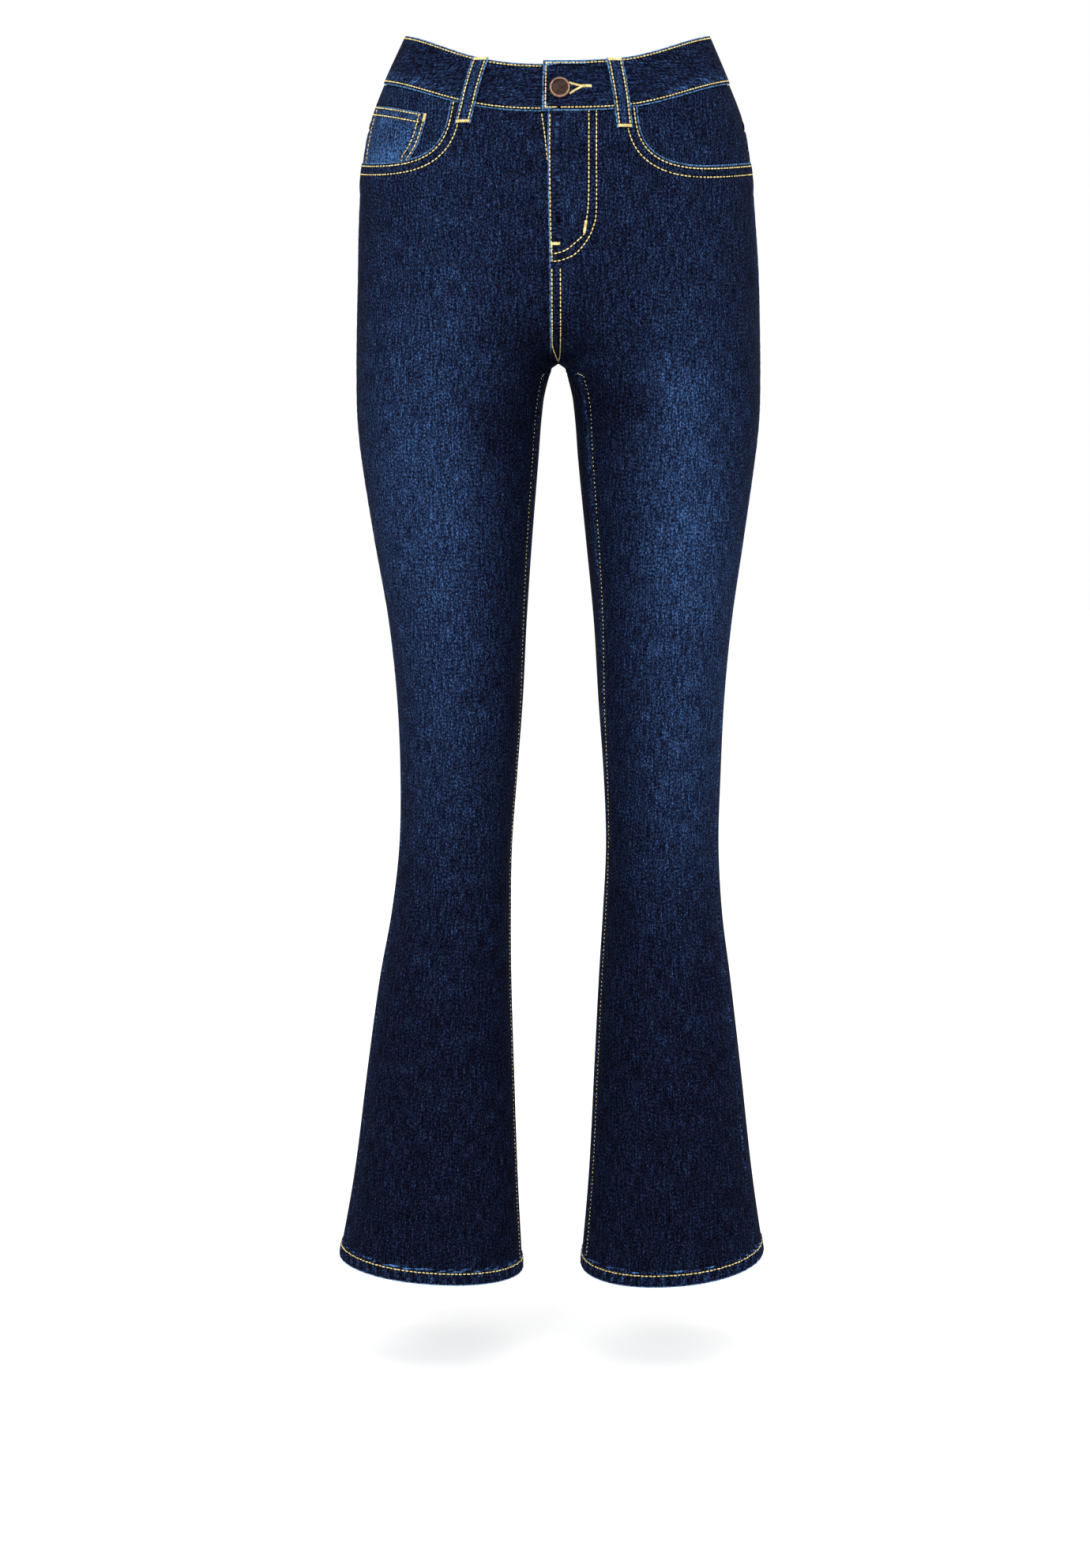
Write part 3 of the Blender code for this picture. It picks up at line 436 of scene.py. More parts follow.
def fly_lift(x, z):
    """How far the left front stands off where it laps over the right one."""
    width = mix(FLY_SEAM_WIDTH, FLY_WIDTH, ease(FLY_END - 0.012, FLY_END + 0.012, z))
    lift = FLY_LIFT * (1.0 - ease(FLY_FLAT, width, x))
    return lift * ease(CROTCH_LEVEL, CROTCH_LEVEL + 0.004, z)


def mouth_drop(share):
    """Depth of the mouth under the band, for a share of its width from the side seam."""
    share = np.clip(share, 0.0, 1.0)
    return MOUTH_DEPTH * (1.0 - share**MOUTH_ROUND) ** (1.0 / MOUTH_ROUND)


def mouth_width(drop):
    """Share of the mouth's width at a depth under the band."""
    drop = np.clip(drop / MOUTH_DEPTH, 0.0, 1.0)
    return (1.0 - drop**MOUTH_ROUND) ** (1.0 / MOUTH_ROUND)


def mouth_side(side):
    return float(side_share(side, band_seam(0.0) - MOUTH_DEPTH))


def past_mouth(side, w, z):
    """Rough distance from the pocket mouth into the front."""
    start = mouth_side(side)
    across = np.maximum((w - start) / (MOUTH_END[side] - start), 0.0)
    down = np.maximum((band_seam(w) - z) / MOUTH_DEPTH, 0.0)
    reach = (across**MOUTH_ROUND + down**MOUTH_ROUND) ** (1.0 / MOUTH_ROUND)
    return (reach - 1.0) * MOUTH_DEPTH


def mouth_lift(side, w, z):
    past = past_mouth(side, w, z)
    return MOUTH_LIFT * (1.0 - ease(MOUTH_LIFT_FADE * 0.4, MOUTH_LIFT_FADE, past))


def front_proud(side, w, z):
    """How far the front panel stands off the surface."""
    w, z = np.broadcast_arrays(np.asarray(w, float), np.asarray(z, float))
    lift = mouth_lift(side, w, z)
    if side == 1:
        lift = lift + np.where(w > 0.6, fly_lift(surface(w, z)[..., 0], z), 0.0)
    return lift


def base(side, w, z):
    """Points on the folded surface."""
    return place(side, w, z)[0]


# A line on the cloth: a side and (w, z) along it
Line = namedtuple("Line", "side path")


def line_of(side, w, z):
    return Line(side, np.stack([w, z], axis=1))


def smooth_line(side, w, z, count=300):
    return Line(side, smooth_path(np.stack([w, z], axis=1), count))


def smooth_path(points, count):
    """A curve through (a, b) points."""
    if len(points) == 2:
        return points[0] + (points[1] - points[0]) * np.linspace(0.0, 1.0, count)[:, None]
    at = np.linspace(0.0, len(points) - 1.0, count)
    k = np.minimum(at.astype(int), len(points) - 2)
    t = (at - k)[:, None]
    before = points[np.maximum(k - 1, 0)]
    first = points[k]
    last = points[k + 1]
    after = points[np.minimum(k + 2, len(points) - 1)]
    return 0.5 * (
        2.0 * first
        + (last - before) * t
        + (2.0 * before - 5.0 * first + 4.0 * last - after) * t**2
        + (3.0 * first - before - 3.0 * last + after) * t**3
    )


def offset(source, distance):
    """A line beside another one on the surface, to its left as it runs and seen from outside."""
    side, path = source
    w, z = path.T
    step = 0.0005
    here, out = place(side, w, z)
    by_w = (base(side, w + step, z) - here) / step
    by_z = (base(side, w, z + step) - here) / step
    along = np.gradient(here, axis=0)
    aside = np.cross(out, along)
    aside /= np.linalg.norm(aside, axis=1, keepdims=True)
    ww = (by_w * by_w).sum(1)
    wz = (by_w * by_z).sum(1)
    zz = (by_z * by_z).sum(1)
    w_part = (aside * by_w).sum(1)
    z_part = (aside * by_z).sum(1)
    scale = distance / (ww * zz - wz * wz)
    dw = (w_part * zz - z_part * wz) * scale
    dz = (z_part * ww - w_part * wz) * scale
    return line_of(side, w + dw, z + dz)


def lengths(points):
    """Length from the first point to each."""
    steps = np.linalg.norm(np.diff(points, axis=0), axis=1)
    return np.concatenate([[0.0], np.cumsum(steps)])


def bell(value, width):
    """1 at 0, and about a third at width."""
    return np.exp(-((value / width) ** 2))


# Lines are measured at spots a step apart. FAR is said where there is no line, two rows this close
# are a pair, and what is further off the surface than OFF_REACH isn't on the line.
STEP_ALONG = 0.0010
FAR = 0.05
PAIR_REACH = 0.0095
OFF_REACH = 0.004


def sampled(item):
    """Spots along a line, a step apart, with its direction, the surface's normals and its length."""
    side, path = item
    points, out = place(side, *path.T)
    far = lengths(points)
    at = np.arange(0.0, far[-1], STEP_ALONG)
    spots, facing = [np.stack([np.interp(at, far, row) for row in rows.T], axis=1) for rows in (points, out)]
    ways = np.gradient(spots, axis=0)
    ways /= np.linalg.norm(ways, axis=1, keepdims=True)
    return spots, ways, facing, at


class Near:
    """Measures how far points are from lines. A sign is + on the side that faces a line's pair."""

    def __init__(self, lines, signed=False):
        self.signed = signed
        self.tree = None
        rows = [sampled(item) for item in lines]
        if not rows:
            return
        asides = []
        for k, (spots, ways, out, _) in enumerate(rows):
            aside = np.cross(out, ways)
            aside /= np.linalg.norm(aside, axis=1, keepdims=True)
            middle = spots[len(spots) // 2]
            others = [other[0] for n, other in enumerate(rows) if n != k]
            if others:
                others = np.concatenate(others)
                towards = others[np.linalg.norm(others - middle, axis=1).argmin()] - middle
                if np.linalg.norm(towards) < PAIR_REACH and towards @ aside[len(spots) // 2] < 0.0:
                    aside = -aside
            asides.append(aside)
        self.spots = np.concatenate([row[0] for row in rows])
        self.ways = np.concatenate([row[1] for row in rows])
        self.along = np.concatenate([row[3] for row in rows])
        self.asides = np.concatenate(asides)
        self.tree = kdtree.KDTree(len(self.spots))
        for k, spot in enumerate(self.spots):
            self.tree.insert(spot, k)
        self.tree.balance()

    def measure(self, points):
        """(distance, length along the line) of points, by the nearest spot."""
        shape = points.shape[:-1]
        if self.tree is None:
            return np.full(shape, FAR), np.zeros(shape)
        flat = points.reshape(-1, 3)
        found = np.array([self.tree.find(point)[1] for point in flat])
        gap = flat - self.spots[found]
        aside = (gap * self.asides[found]).sum(1)
        ahead = (gap * self.ways[found]).sum(1)
        far = np.hypot(aside, np.maximum(np.abs(ahead) - 0.6 * STEP_ALONG, 0.0))
        off = np.sqrt(np.maximum((gap * gap).sum(1) - aside**2 - ahead**2, 0.0))
        far = np.hypot(far, np.where(off > OFF_REACH, off, 0.0))
        if self.signed:
            far = np.copysign(far, aside)
        return far.reshape(shape), (self.along[found] + ahead).reshape(shape)


# Relief as (height, width) of a soft bump or dip: beside a row of stitches, its puckers, at a bare
# edge, in a seam, on the seam's shoulder, and where the seam draws the cloth in
ROW_DIP = (-0.00025, 0.0015)
ROW_PUCKER = (0.00020, 0.0042)
EDGE_ROUND = (-0.0006, 0.0008)
SEAM_GROOVE = (-0.0007, 0.0010)
SEAM_SHOULDER = (0.0003, 0.003)
SHOULDER_AT = 0.004
SEAM_DRAWN = (0.00012, 0.006)

# Waves of the puckers and of the drawn cloth, in radians a metre, with what makes them uneven
PUCKERS = (1100.0, (1.9, 190.0), (1.3, 77.0))
DRAWS = (640.0, (2.3, 131.0))

# The width that a seam's wear fades over, and how strong and wide its flecks are
SEAM_WORN_WIDTH = 0.011
SEAM_FLECKS = (1.8, 0.0026)


def uneven_wave(at, pitch, *sways):
    return np.sin(at * pitch + sum(size * np.sin(at * sway) for size, sway in sways))


class Cloth:
    """One piece of cloth: how it stands off the surface, its stitch rows and its bare edges."""

    def __init__(self, proud, rows=(), rims=(), seams=()):
        self.proud = proud
        self.to_rows = Near(rows, signed=True)
        self.to_rims = Near(rims)
        self.to_seams = Near(seams)

    def relief(self, points):
        row, along = self.to_rows.measure(points)
        rim, _ = self.to_rims.measure(points)
        seam, down = self.to_seams.measure(points)
        total = 0.0
        for (height, width), value, share in (
            (ROW_DIP, row, 1.0), (ROW_PUCKER, row, uneven_wave(along, *PUCKERS)), (EDGE_ROUND, rim, 1.0),
            (SEAM_GROOVE, seam, 1.0), (SEAM_SHOULDER, seam - SHOULDER_AT, 1.0),
            (SEAM_DRAWN, seam, uneven_wave(down, *DRAWS)),
        ):
            total = total + height * share * bell(value, width)
        return total, {"row": row, "along": along, "rim": rim, "seam": seam}

    def put(self, side, w, z, extra=0.0):
        """Points on the cloth's outer face, its normals, and what relief measured there."""
        relief, measures = self.relief(base(side, w, z))
        points, out = place(side, w, z, self.proud(side, w, z) + relief + extra)
        return points, out, measures


# Where the grain is worked out: levels, and girth shares that are closer together at the middles
GRAIN_LEVELS = np.linspace(0.02, -1.10, 226)
EVEN = np.linspace(-1.3, 1.3, 175)
CLOSE = np.linspace(-0.06, 0.06, 61)
GRAIN_SHARES = np.unique(np.round(np.concatenate([EVEN, 1.0 + CLOSE, -1.0 + CLOSE]), 6))
LEG_MIDDLE = 0.096
BACK_GRAIN_SHIFT = 0.7
SIDE_GRAIN_SHIFT = 1.5


def grain_table():
    """Lengths along each level's curve, from the middle of the leg's front and of its back."""
    points = surface(GRAIN_SHARES[None, :], GRAIN_LEVELS[:, None])
    flat = points[..., :2]
    steps = np.linalg.norm(np.diff(flat, axis=1), axis=2)
    far = np.concatenate([np.zeros((len(GRAIN_LEVELS), 1)), np.cumsum(steps, axis=1)], axis=1)
    s = section_at(GRAIN_LEVELS)
    middle = mix(0.5 * (s.far + s.near), LEG_MIDDLE, ease(-0.42, -0.30, GRAIN_LEVELS))
    tables = []
    for is_front in (True, False):
        share = share_from_x(middle, GRAIN_LEVELS, is_front)
        share = share if is_front else -share
        start = [np.interp(a, GRAIN_SHARES, row) for a, row in zip(share, far)]
        tables.append(far - np.array(start)[:, None])
    return tables


GRAIN_FRONT, GRAIN_BACK = grain_table()


def grain(w, z, is_front=True):
    """Distance across the warp, which runs straight down the panels."""
    row = (GRAIN_LEVELS[0] - z) / (GRAIN_LEVELS[0] - GRAIN_LEVELS[1])
    row = np.clip(row, 0.0, len(GRAIN_LEVELS) - 1.001)
    column = np.interp(w, GRAIN_SHARES, np.arange(len(GRAIN_SHARES)))
    column = np.minimum(column, len(GRAIN_SHARES) - 1.001)
    i, j = row.astype(int), column.astype(int)
    a, b = row - i, column - j
    table = GRAIN_FRONT if is_front else GRAIN_BACK
    first = mix(table[i, j], table[i, j + 1], b)
    last = mix(table[i + 1, j], table[i + 1, j + 1], b)
    return mix(first, last, a) + (0.0 if is_front else BACK_GRAIN_SHIFT)


# Washed and worn places, + paler, and darker places, -, of which those at the crotch and inner thighs are
# painted shade: on the front or the back, where the middle is, and how far it reaches aside, up and down
Fade = namedtuple("Fade", "front x z width above below share")
FADES_AND_SHADES = (
    Fade(True, -0.100, -0.42, 0.050, 0.23, 0.29, 0.90),
    Fade(True, 0.108, -0.43, 0.054, 0.195, 0.28, 1.05),
    Fade(True, -0.150, -0.36, 0.030, 0.14, 0.13, 0.38),
    Fade(True, 0.000, -0.10, 0.300, 0.20, 0.17, 0.38),
    Fade(True, 0.100, -0.66, 0.036, 0.08, 0.09, 0.20),
    Fade(True, -0.092, -0.66, 0.036, 0.08, 0.09, 0.10),
    Fade(True, 0.106, -0.53, 0.034, 0.05, 0.05, -0.12),
    Fade(True, 0.008, -0.15, 0.008, 0.07, 0.09, 0.15),
    # Painted shade under the crotch
    Fade(True, -0.010, -0.30, 0.030, 0.05, 0.05, -0.15),
    Fade(True, -0.147, -0.112, 0.010, 0.012, 0.014, 0.40),
    # Painted shade on the wearer's left inner thigh, below the crotch
    Fade(True, 0.052, -0.315, 0.030, 0.016, 0.018, -0.40),
    Fade(True, 0.100, -0.305, 0.026, 0.022, 0.026, 0.30),
    # Painted shade on the wearer's right inner thigh, below the crotch
    Fade(True, -0.050, -0.330, 0.024, 0.020, 0.024, -0.30),
    Fade(False, -0.085, -0.17, 0.060, 0.10, 0.12, 0.70),
    Fade(False, 0.085, -0.17, 0.060, 0.10, 0.12, 0.70),
    Fade(False, -0.095, -0.45, 0.045, 0.14, 0.24, 0.60),
    Fade(False, 0.095, -0.45, 0.045, 0.14, 0.24, 0.60),
    Fade(False, 0.000, -0.10, 0.300, 0.20, 0.17, 0.30),
)


def fade_and_shade_at(points):
    """Share of wash and wear, and of painted shade at the crotch and inner thighs, from where the cloth
    lies.
    """
    x, y, z = np.moveaxis(points, -1, 0)
    total = np.zeros(x.shape)
    for spot in FADES_AND_SHADES:
        facing = y < 0.0 if spot.front else y >= 0.0
        across = (x - spot.x) / spot.width
        up = (z - spot.z) / np.where(z > spot.z, spot.above, spot.below)
        total += np.where(facing, spot.share * np.exp(-(across**2) - up**2), 0.0)
    return total * np.clip(np.abs(y) / 0.05, 0.0, 1.0)


def seam_wear(side, z):
    """Share of wear along a side seam or inseam, less towards the hem."""
    down_the_leg = np.where(side > 0, 0.32, 0.30)
    return np.where(z > CROTCH_LEVEL, 0.45, down_the_leg) * ease(-1.15, -0.5, z) ** 0.5


def new_mesh(name, vertices, faces, materials):
    mesh = bpy.data.meshes.new(name)
    mesh.from_pydata(vertices, [], faces)
    for material in materials:
        mesh.materials.append(material)
    mesh.update()
    mesh.shade_smooth()
    return mesh


def new_object(name, data):
    thing = bpy.data.objects.new(name, data)
    bpy.context.collection.objects.link(thing)
    return thing


def grid_mesh(name, points, out, keep, across, up, measures):
    """A sheet of quads over a grid of points, with its UVs in metres and its measures."""
    rows, columns = points.shape[:2]
    index = np.arange(rows * columns).reshape(rows, columns)
    corners = (index[:-1, :-1], index[1:, :-1], index[1:, 1:], index[:-1, 1:])
    quads = np.stack([corner[keep] for corner in corners], axis=1)
    flat = points.reshape(-1, 3)
    cross = np.cross(flat[quads[:, 2]] - flat[quads[:, 0]], flat[quads[:, 3]] - flat[quads[:, 1]])
    if (cross * out.reshape(-1, 3)[quads[:, 0]]).sum() < 0.0:
        quads = quads[:, ::-1]
    used, quads = np.unique(quads, return_inverse=True)
    quads = quads.reshape(-1, 4)
    mesh = new_mesh(name, flat[used].tolist(), quads.tolist(), (DENIM, DENIM_INSIDE))
    layer = mesh.uv_layers.new(name="cloth")
    uv = np.stack([across.ravel()[used], up.ravel()[used]], axis=1)
    layer.data.foreach_set("uv", uv[quads.ravel()].ravel())
    for key, values in measures.items():
        attribute = mesh.attributes.new(key, "FLOAT", "POINT")
        attribute.data.foreach_set("value", np.asarray(values, np.float32).ravel()[used])
    return new_object(name, mesh)


def ends_drawn_in(points):
    """The same grid with its border a hair inside, so that neighbours have a seam between them."""
    drawn = points.copy()
    for edge, beside in (
        ((0, slice(None)), (1, slice(None))),
        ((-1, slice(None)), (-2, slice(None))),
        ((slice(None), 0), (slice(None), 1)),
        ((slice(None), -1), (slice(None), -2)),
    ):
        step = points[beside] - points[edge]
        size = np.maximum(np.linalg.norm(step, axis=-1, keepdims=True), 1e-9)
        drawn[edge] = drawn[edge] + step / size * np.minimum(BORDER_DRAWN_IN, 0.4 * size)
    return drawn


def facing_top(array, edge):
    """A grid turned so that one of its borders, top, foot, first or last, is its first row."""
    array = np.swapaxes(array, 0, 1) if edge in ("first", "last") else array
    return array[::-1] if edge in ("foot", "last") else array


def facing_back(array, edge):
    """Undoes facing_top."""
    array = array[::-1] if edge in ("foot", "last") else array
    return np.swapaxes(array, 0, 1) if edge in ("first", "last") else array


def add_allowance(sheet, keep, edge, depth, wanted):
    """Adds a seam allowance beyond a border, so deep under the surface, behind the next piece."""
    sheet = {key: facing_top(values, edge) for key, values in sheet.items()}
    keep = facing_top(keep, edge)
    points, out = sheet["points"], sheet["out"]
    ahead = points[0] - points[1]
    size = np.maximum(np.linalg.norm(ahead, axis=-1, keepdims=True), 1e-9)
    use = wanted(sheet["w"][0], sheet["z"][0]) & sheet["original"][0]
    deep = np.broadcast_to(depth(sheet["w"][0], sheet["z"][0]), use.shape)[:, None]
    grown = {}
    for key, values in sheet.items():
        first = values[0]
        if key == "points":
            rows = [first + ahead / size * reach - out[0] * deep for reach in (ALLOWANCE, 0.0001)]
        elif key in ("u", "v"):
            rows = [first + (first - values[1]) / size[:, 0] * reach for reach in (ALLOWANCE, 0.0001)]
        elif key == "original":
            rows = [np.zeros_like(first)] * 2
        else:
            rows = [first, first]
        grown[key] = facing_back(np.concatenate([np.stack(rows), values]), edge)
    strip = keep[0] & use[1:] & use[:-1]
    keep = facing_back(np.concatenate([np.stack([strip, strip]), keep]), edge)
    return grown, keep


def everywhere(w, z):
    return np.ones(w.shape, bool)


def flat_depth(w, z):
    return CLOTH - 0.0002


def make_cloth(node, cloth, side, w, z, keep=None, thick=SHELL, turned=False, clip=None, wash=0.0,
               fleck=0.0, allowances=(), name=None):
    """A shell of cloth over a grid of places, which stands for a node. turned is for cloth whose
    warp runs round the garment, and clip keeps a side's points this far from the middle."""
    side_all, w, z = np.broadcast_arrays(side, w, z)
    if keep is None:
        keep = np.ones((w.shape[0] - 1, w.shape[1] - 1), bool)
    points, out, measures = cloth.put(side_all if np.ndim(side) else side, w, z)
    if clip is not None:
        x, sway = points[..., 0], section("sway", z)
        points[..., 0] = np.where(side * (x - sway) < clip, sway + side * clip, x)
    if turned:
        across = np.stack([lengths(line_points) for line_points in points])
        across = across - across[:, [across.shape[1] // 2]]
    else:
        across = grain(w, z, w.mean() > 0.0) + side * SIDE_GRAIN_SHIFT
    seam = measures.pop("seam")
    # Wash and wear, plus the painted shade at the crotch and inner thighs
    measures["fade"] = fade_and_shade_at(points) + wash + seam_wear(side_all, z) * bell(seam, SEAM_WORN_WIDTH)
    measures["fleck"] = fleck + SEAM_FLECKS[0] * bell(seam, SEAM_FLECKS[1])
    points = ends_drawn_in(points)
    u, v = (z, across) if turned else (across, z)
    sheet = {"points": points, "out": out, "u": u, "v": v, "w": w, "z": z, **measures}
    sheet["original"] = np.ones(w.shape, bool)
    for edge, depth, wanted in allowances:
        sheet, keep = add_allowance(sheet, keep, edge, depth, wanted)
    measures = {key: sheet[key] for key in measures}
    places = [sheet[key] for key in ("u", "v")]
    thing = grid_mesh(name or f"cloth_{node}", sheet["points"], sheet["out"], keep, *places, measures)
    declare(thing, node, thick)


# What each piece of cloth was cut to, without its turnings: width, length and area, and what holds it
Cut = namedtuple("Cut", "width length area hangs_from")


def declare(thing, node, thick):
    """Gives a sheet its thickness, hides the solid that it stands for and hangs the sheet on the root."""
    shell = thing.modifiers.new("thickness", "SOLIDIFY")
    shell.thickness = thick
    shell.offset = -1.0
    shell.material_offset = 1
    shell.material_offset_rim = 0
    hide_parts(node)
    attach(thing, "root")


# Stitches by the name of their piece, each three rings of RING vertices and two tips. The ends of a
# stitch lie STITCH_SINK deeper than its middle, and a tack's ends and middle at TACK_HEIGHTS.
RING = 6
END_SIZE = 0.72
STITCH_SINK = 0.00030
TACK_HEIGHTS = (0.0001, 0.0006, 0.0001)
RANDOM = np.random.default_rng(7)
THREADS = {}


def add_stitches(group, spots, radius):
    """Stitches from a first to a last spot over a middle one, each spots with their normals."""
    (first, _), (middle, out), (last, _) = spots
    along = last - first
    along = along / np.linalg.norm(along, axis=1, keepdims=True)
    aside = np.cross(out, along)
    aside = aside / np.linalg.norm(aside, axis=1, keepdims=True)
    turns = np.arange(RING) * 2.0 * np.pi / RING
    rings = []
    for centre, size in ((first, END_SIZE), (middle, 1.0), (last, END_SIZE)):
        for turn in turns:
            rings.append(centre + (aside * np.cos(turn) + 0.75 * out * np.sin(turn)) * radius * size)
    ahead, sunk = along * radius * 0.6, out * radius * 0.4
    tips = [first - ahead - sunk, last + ahead - sunk]
    THREADS.setdefault(group, []).append(np.stack(rings + tips, axis=1))


def stitch_faces():
    """Faces over the vertices of one stitch."""
    faces = []
    for ring in range(2):
        for k in range(RING):
            a, b = ring * RING + k, ring * RING + (k + 1) % RING
            faces.append((a, a + RING, b + RING, b))
    tips = 3 * RING
    for k in range(RING):
        faces.append((tips, k, (k + 1) % RING))
        faces.append((tips + 1, 2 * RING + (k + 1) % RING, 2 * RING + k))
    return faces


def sew(group, put, rows, pitch=0.0036, share=0.70, radius=0.00056, high=0.00026):
    """Stitches along lines, as real loops of thread. put gives points on the cloth."""
    for side, path in rows:
        far = lengths(base(side, *path.T))
        count = max(int(round(far[-1] / pitch)), 1)
        at = (np.arange(count) + 0.5 + RANDOM.uniform(-0.06, 0.06, count)) * far[-1] / count
        half = 0.5 * share * far[-1] / count * RANDOM.uniform(0.93, 1.05, count)
        spots = []
        for shift, extra in ((-1.0, high - STITCH_SINK), (0.0, high), (1.0, high - STITCH_SINK)):
            w, z = [np.interp(at + shift * half, far, values) for values in path.T]
            spots.append(put(side, w, z, extra)[:2])
        add_stitches(group, spots, radius)


def tack(group, put, row, long, pitch=0.00062, radius=0.00036):
    """A bar of close stitches, each this long and across the line."""
    side, path = row
    far = lengths(base(side, *path.T))
    count = max(int(round(far[-1] / pitch)), 2)
    at = (np.arange(count) + 0.5) * far[-1] / count
    spots = []
    for reach, extra in zip((-long / 2.0, 0.0, long / 2.0), TACK_HEIGHTS):
        w, z = [np.interp(at, far, values) for values in offset(row, reach).path.T]
        spots.append(put(side, w, z, extra)[:2])
    add_stitches(group, spots, radius)


def make_threads():
    """One mesh of each group of stitches. The zip's teeth are made the same way, in metal."""
    template = stitch_faces()
    for group, shapes in THREADS.items():
        is_metal = group == "zip_teeth"
        shapes = np.concatenate(shapes)
        count = shapes.shape[1]
        faces = []
        for start in range(0, len(shapes) * count, count):
            faces += [tuple(start + corner for corner in face) for face in template]
        vertices = shapes.reshape(-1, 3).tolist()
        thing = new_object(group, new_mesh(group, vertices, faces, [BRASS if is_metal else THREAD]))
        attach(thing, "root")


def add_node(tree, kind, settings=None, **inputs):
    """A node with its inputs linked or set. n0 is the input number 0."""
    made = tree.nodes.new(kind)
    for key, value in (settings or {}).items():
        setattr(made, key, value)
    for key, value in inputs.items():
        name = key.replace("_", " ")
        socket = made.inputs[int(key[1:]) if key[0] == "n" and key[1:].isdigit() else name]
        if isinstance(value, bpy.types.NodeSocket):
            tree.links.new(value, socket)
        else:
            socket.default_value = value
    return made


class Shader:
    """A material's nodes, built from short calls."""

    def __init__(self, name, rough, metal=0.0, shine=0.5):
        self.material = bpy.data.materials.new(name)
        self.material.use_nodes = True
        self.tree = self.material.node_tree
        self.surface = self.tree.nodes["Principled BSDF"]
        self.surface.inputs["Roughness"].default_value = rough
        self.surface.inputs["Metallic"].default_value = metal
        self.surface.inputs["Specular IOR Level"].default_value = shine

    def cloth_place(self, x, y):
        """Metres across and along the warp, times x and y."""
        uv = add_node(self.tree, "ShaderNodeUVMap", {"uv_map": "cloth"}).outputs[0]
        return add_node(self.tree, "ShaderNodeMapping", Vector=uv, Scale=(x, y, 1.0)).outputs[0]

    def measure(self, name):
        return add_node(self.tree, "ShaderNodeAttribute", {"attribute_name": name}).outputs["Fac"]

    def solid_place(self):
        return add_node(self.tree, "ShaderNodeTexCoord").outputs["Object"]

    def noise(self, vector, scale=1.0, detail=2.0, rough=0.5):
        inputs = {"Vector": vector, "Scale": scale, "Detail": detail, "Roughness": rough}
        return add_node(self.tree, "ShaderNodeTexNoise", **inputs).outputs["Fac"]

    def dots(self, vector):
        """1 at scattered dots, 0 between them."""
        flat = {"voronoi_dimensions": "2D"}
        made = add_node(self.tree, "ShaderNodeTexVoronoi", flat, Vector=vector, Scale=1.0)
        return self.span(made.outputs["Distance"], 0.10, 0.55, 1.0, 0.0)

    def wave(self, vector, scale):
        slant = {"bands_direction": "DIAGONAL"}
        return add_node(self.tree, "ShaderNodeTexWave", slant, Vector=vector, Scale=scale).outputs["Fac"]

    def sum(self, *terms):
        """Adds (value, factor) terms."""
        total = None
        for value, factor in terms:
            part = self.maths("MULTIPLY", value, factor)
            total = part if total is None else self.maths("ADD", total, part)
        return total

    def maths(self, operation, first, second=0.0):
        how = {"operation": operation}
        return add_node(self.tree, "ShaderNodeMath", how, n0=first, n1=second).outputs[0]

    def span(self, value, low, high, first=0.0, last=1.0):
        """value from low to high, as first to last, held at the ends."""
        inputs = {"n0": value, "n1": low, "n2": high, "n3": first, "n4": last}
        how = {"interpolation_type": "SMOOTHSTEP"}
        return add_node(self.tree, "ShaderNodeMapRange", how, **inputs).outputs[0]

    def ramp(self, value, *stops):
        """Colours by value, through (value, colour) stops."""
        made = add_node(self.tree, "ShaderNodeValToRGB", n0=value)
        ramp = made.color_ramp
        while len(ramp.elements) < len(stops):
            ramp.elements.new(0.5)
        for element, (position, colour) in zip(ramp.elements, stops):
            element.position = position
            element.color = (*colour, 1.0)
        return made.outputs[0]

    def blend(self, share, first, second):
        """first, or second where share is 1."""
        colours = [c if isinstance(c, bpy.types.NodeSocket) else (*c, 1.0) for c in (first, second)]
        inputs = {"n0": share, "n6": colours[0], "n7": colours[1]}
        return add_node(self.tree, "ShaderNodeMix", {"data_type": "RGBA"}, **inputs).outputs[2]

    def finish(self, colour, height=None, depth=0.0003, strength=0.5, rough=None):
        self.tree.links.new(colour, self.surface.inputs["Base Color"])
        if rough is not None:
            self.tree.links.new(rough, self.surface.inputs["Roughness"])
        if height is not None:
            inputs = {"Height": height, "Distance": depth, "Strength": strength}
            bump = add_node(self.tree, "ShaderNodeBump", **inputs)
            self.tree.links.new(bump.outputs[0], self.surface.inputs["Normal"])
        return self.material


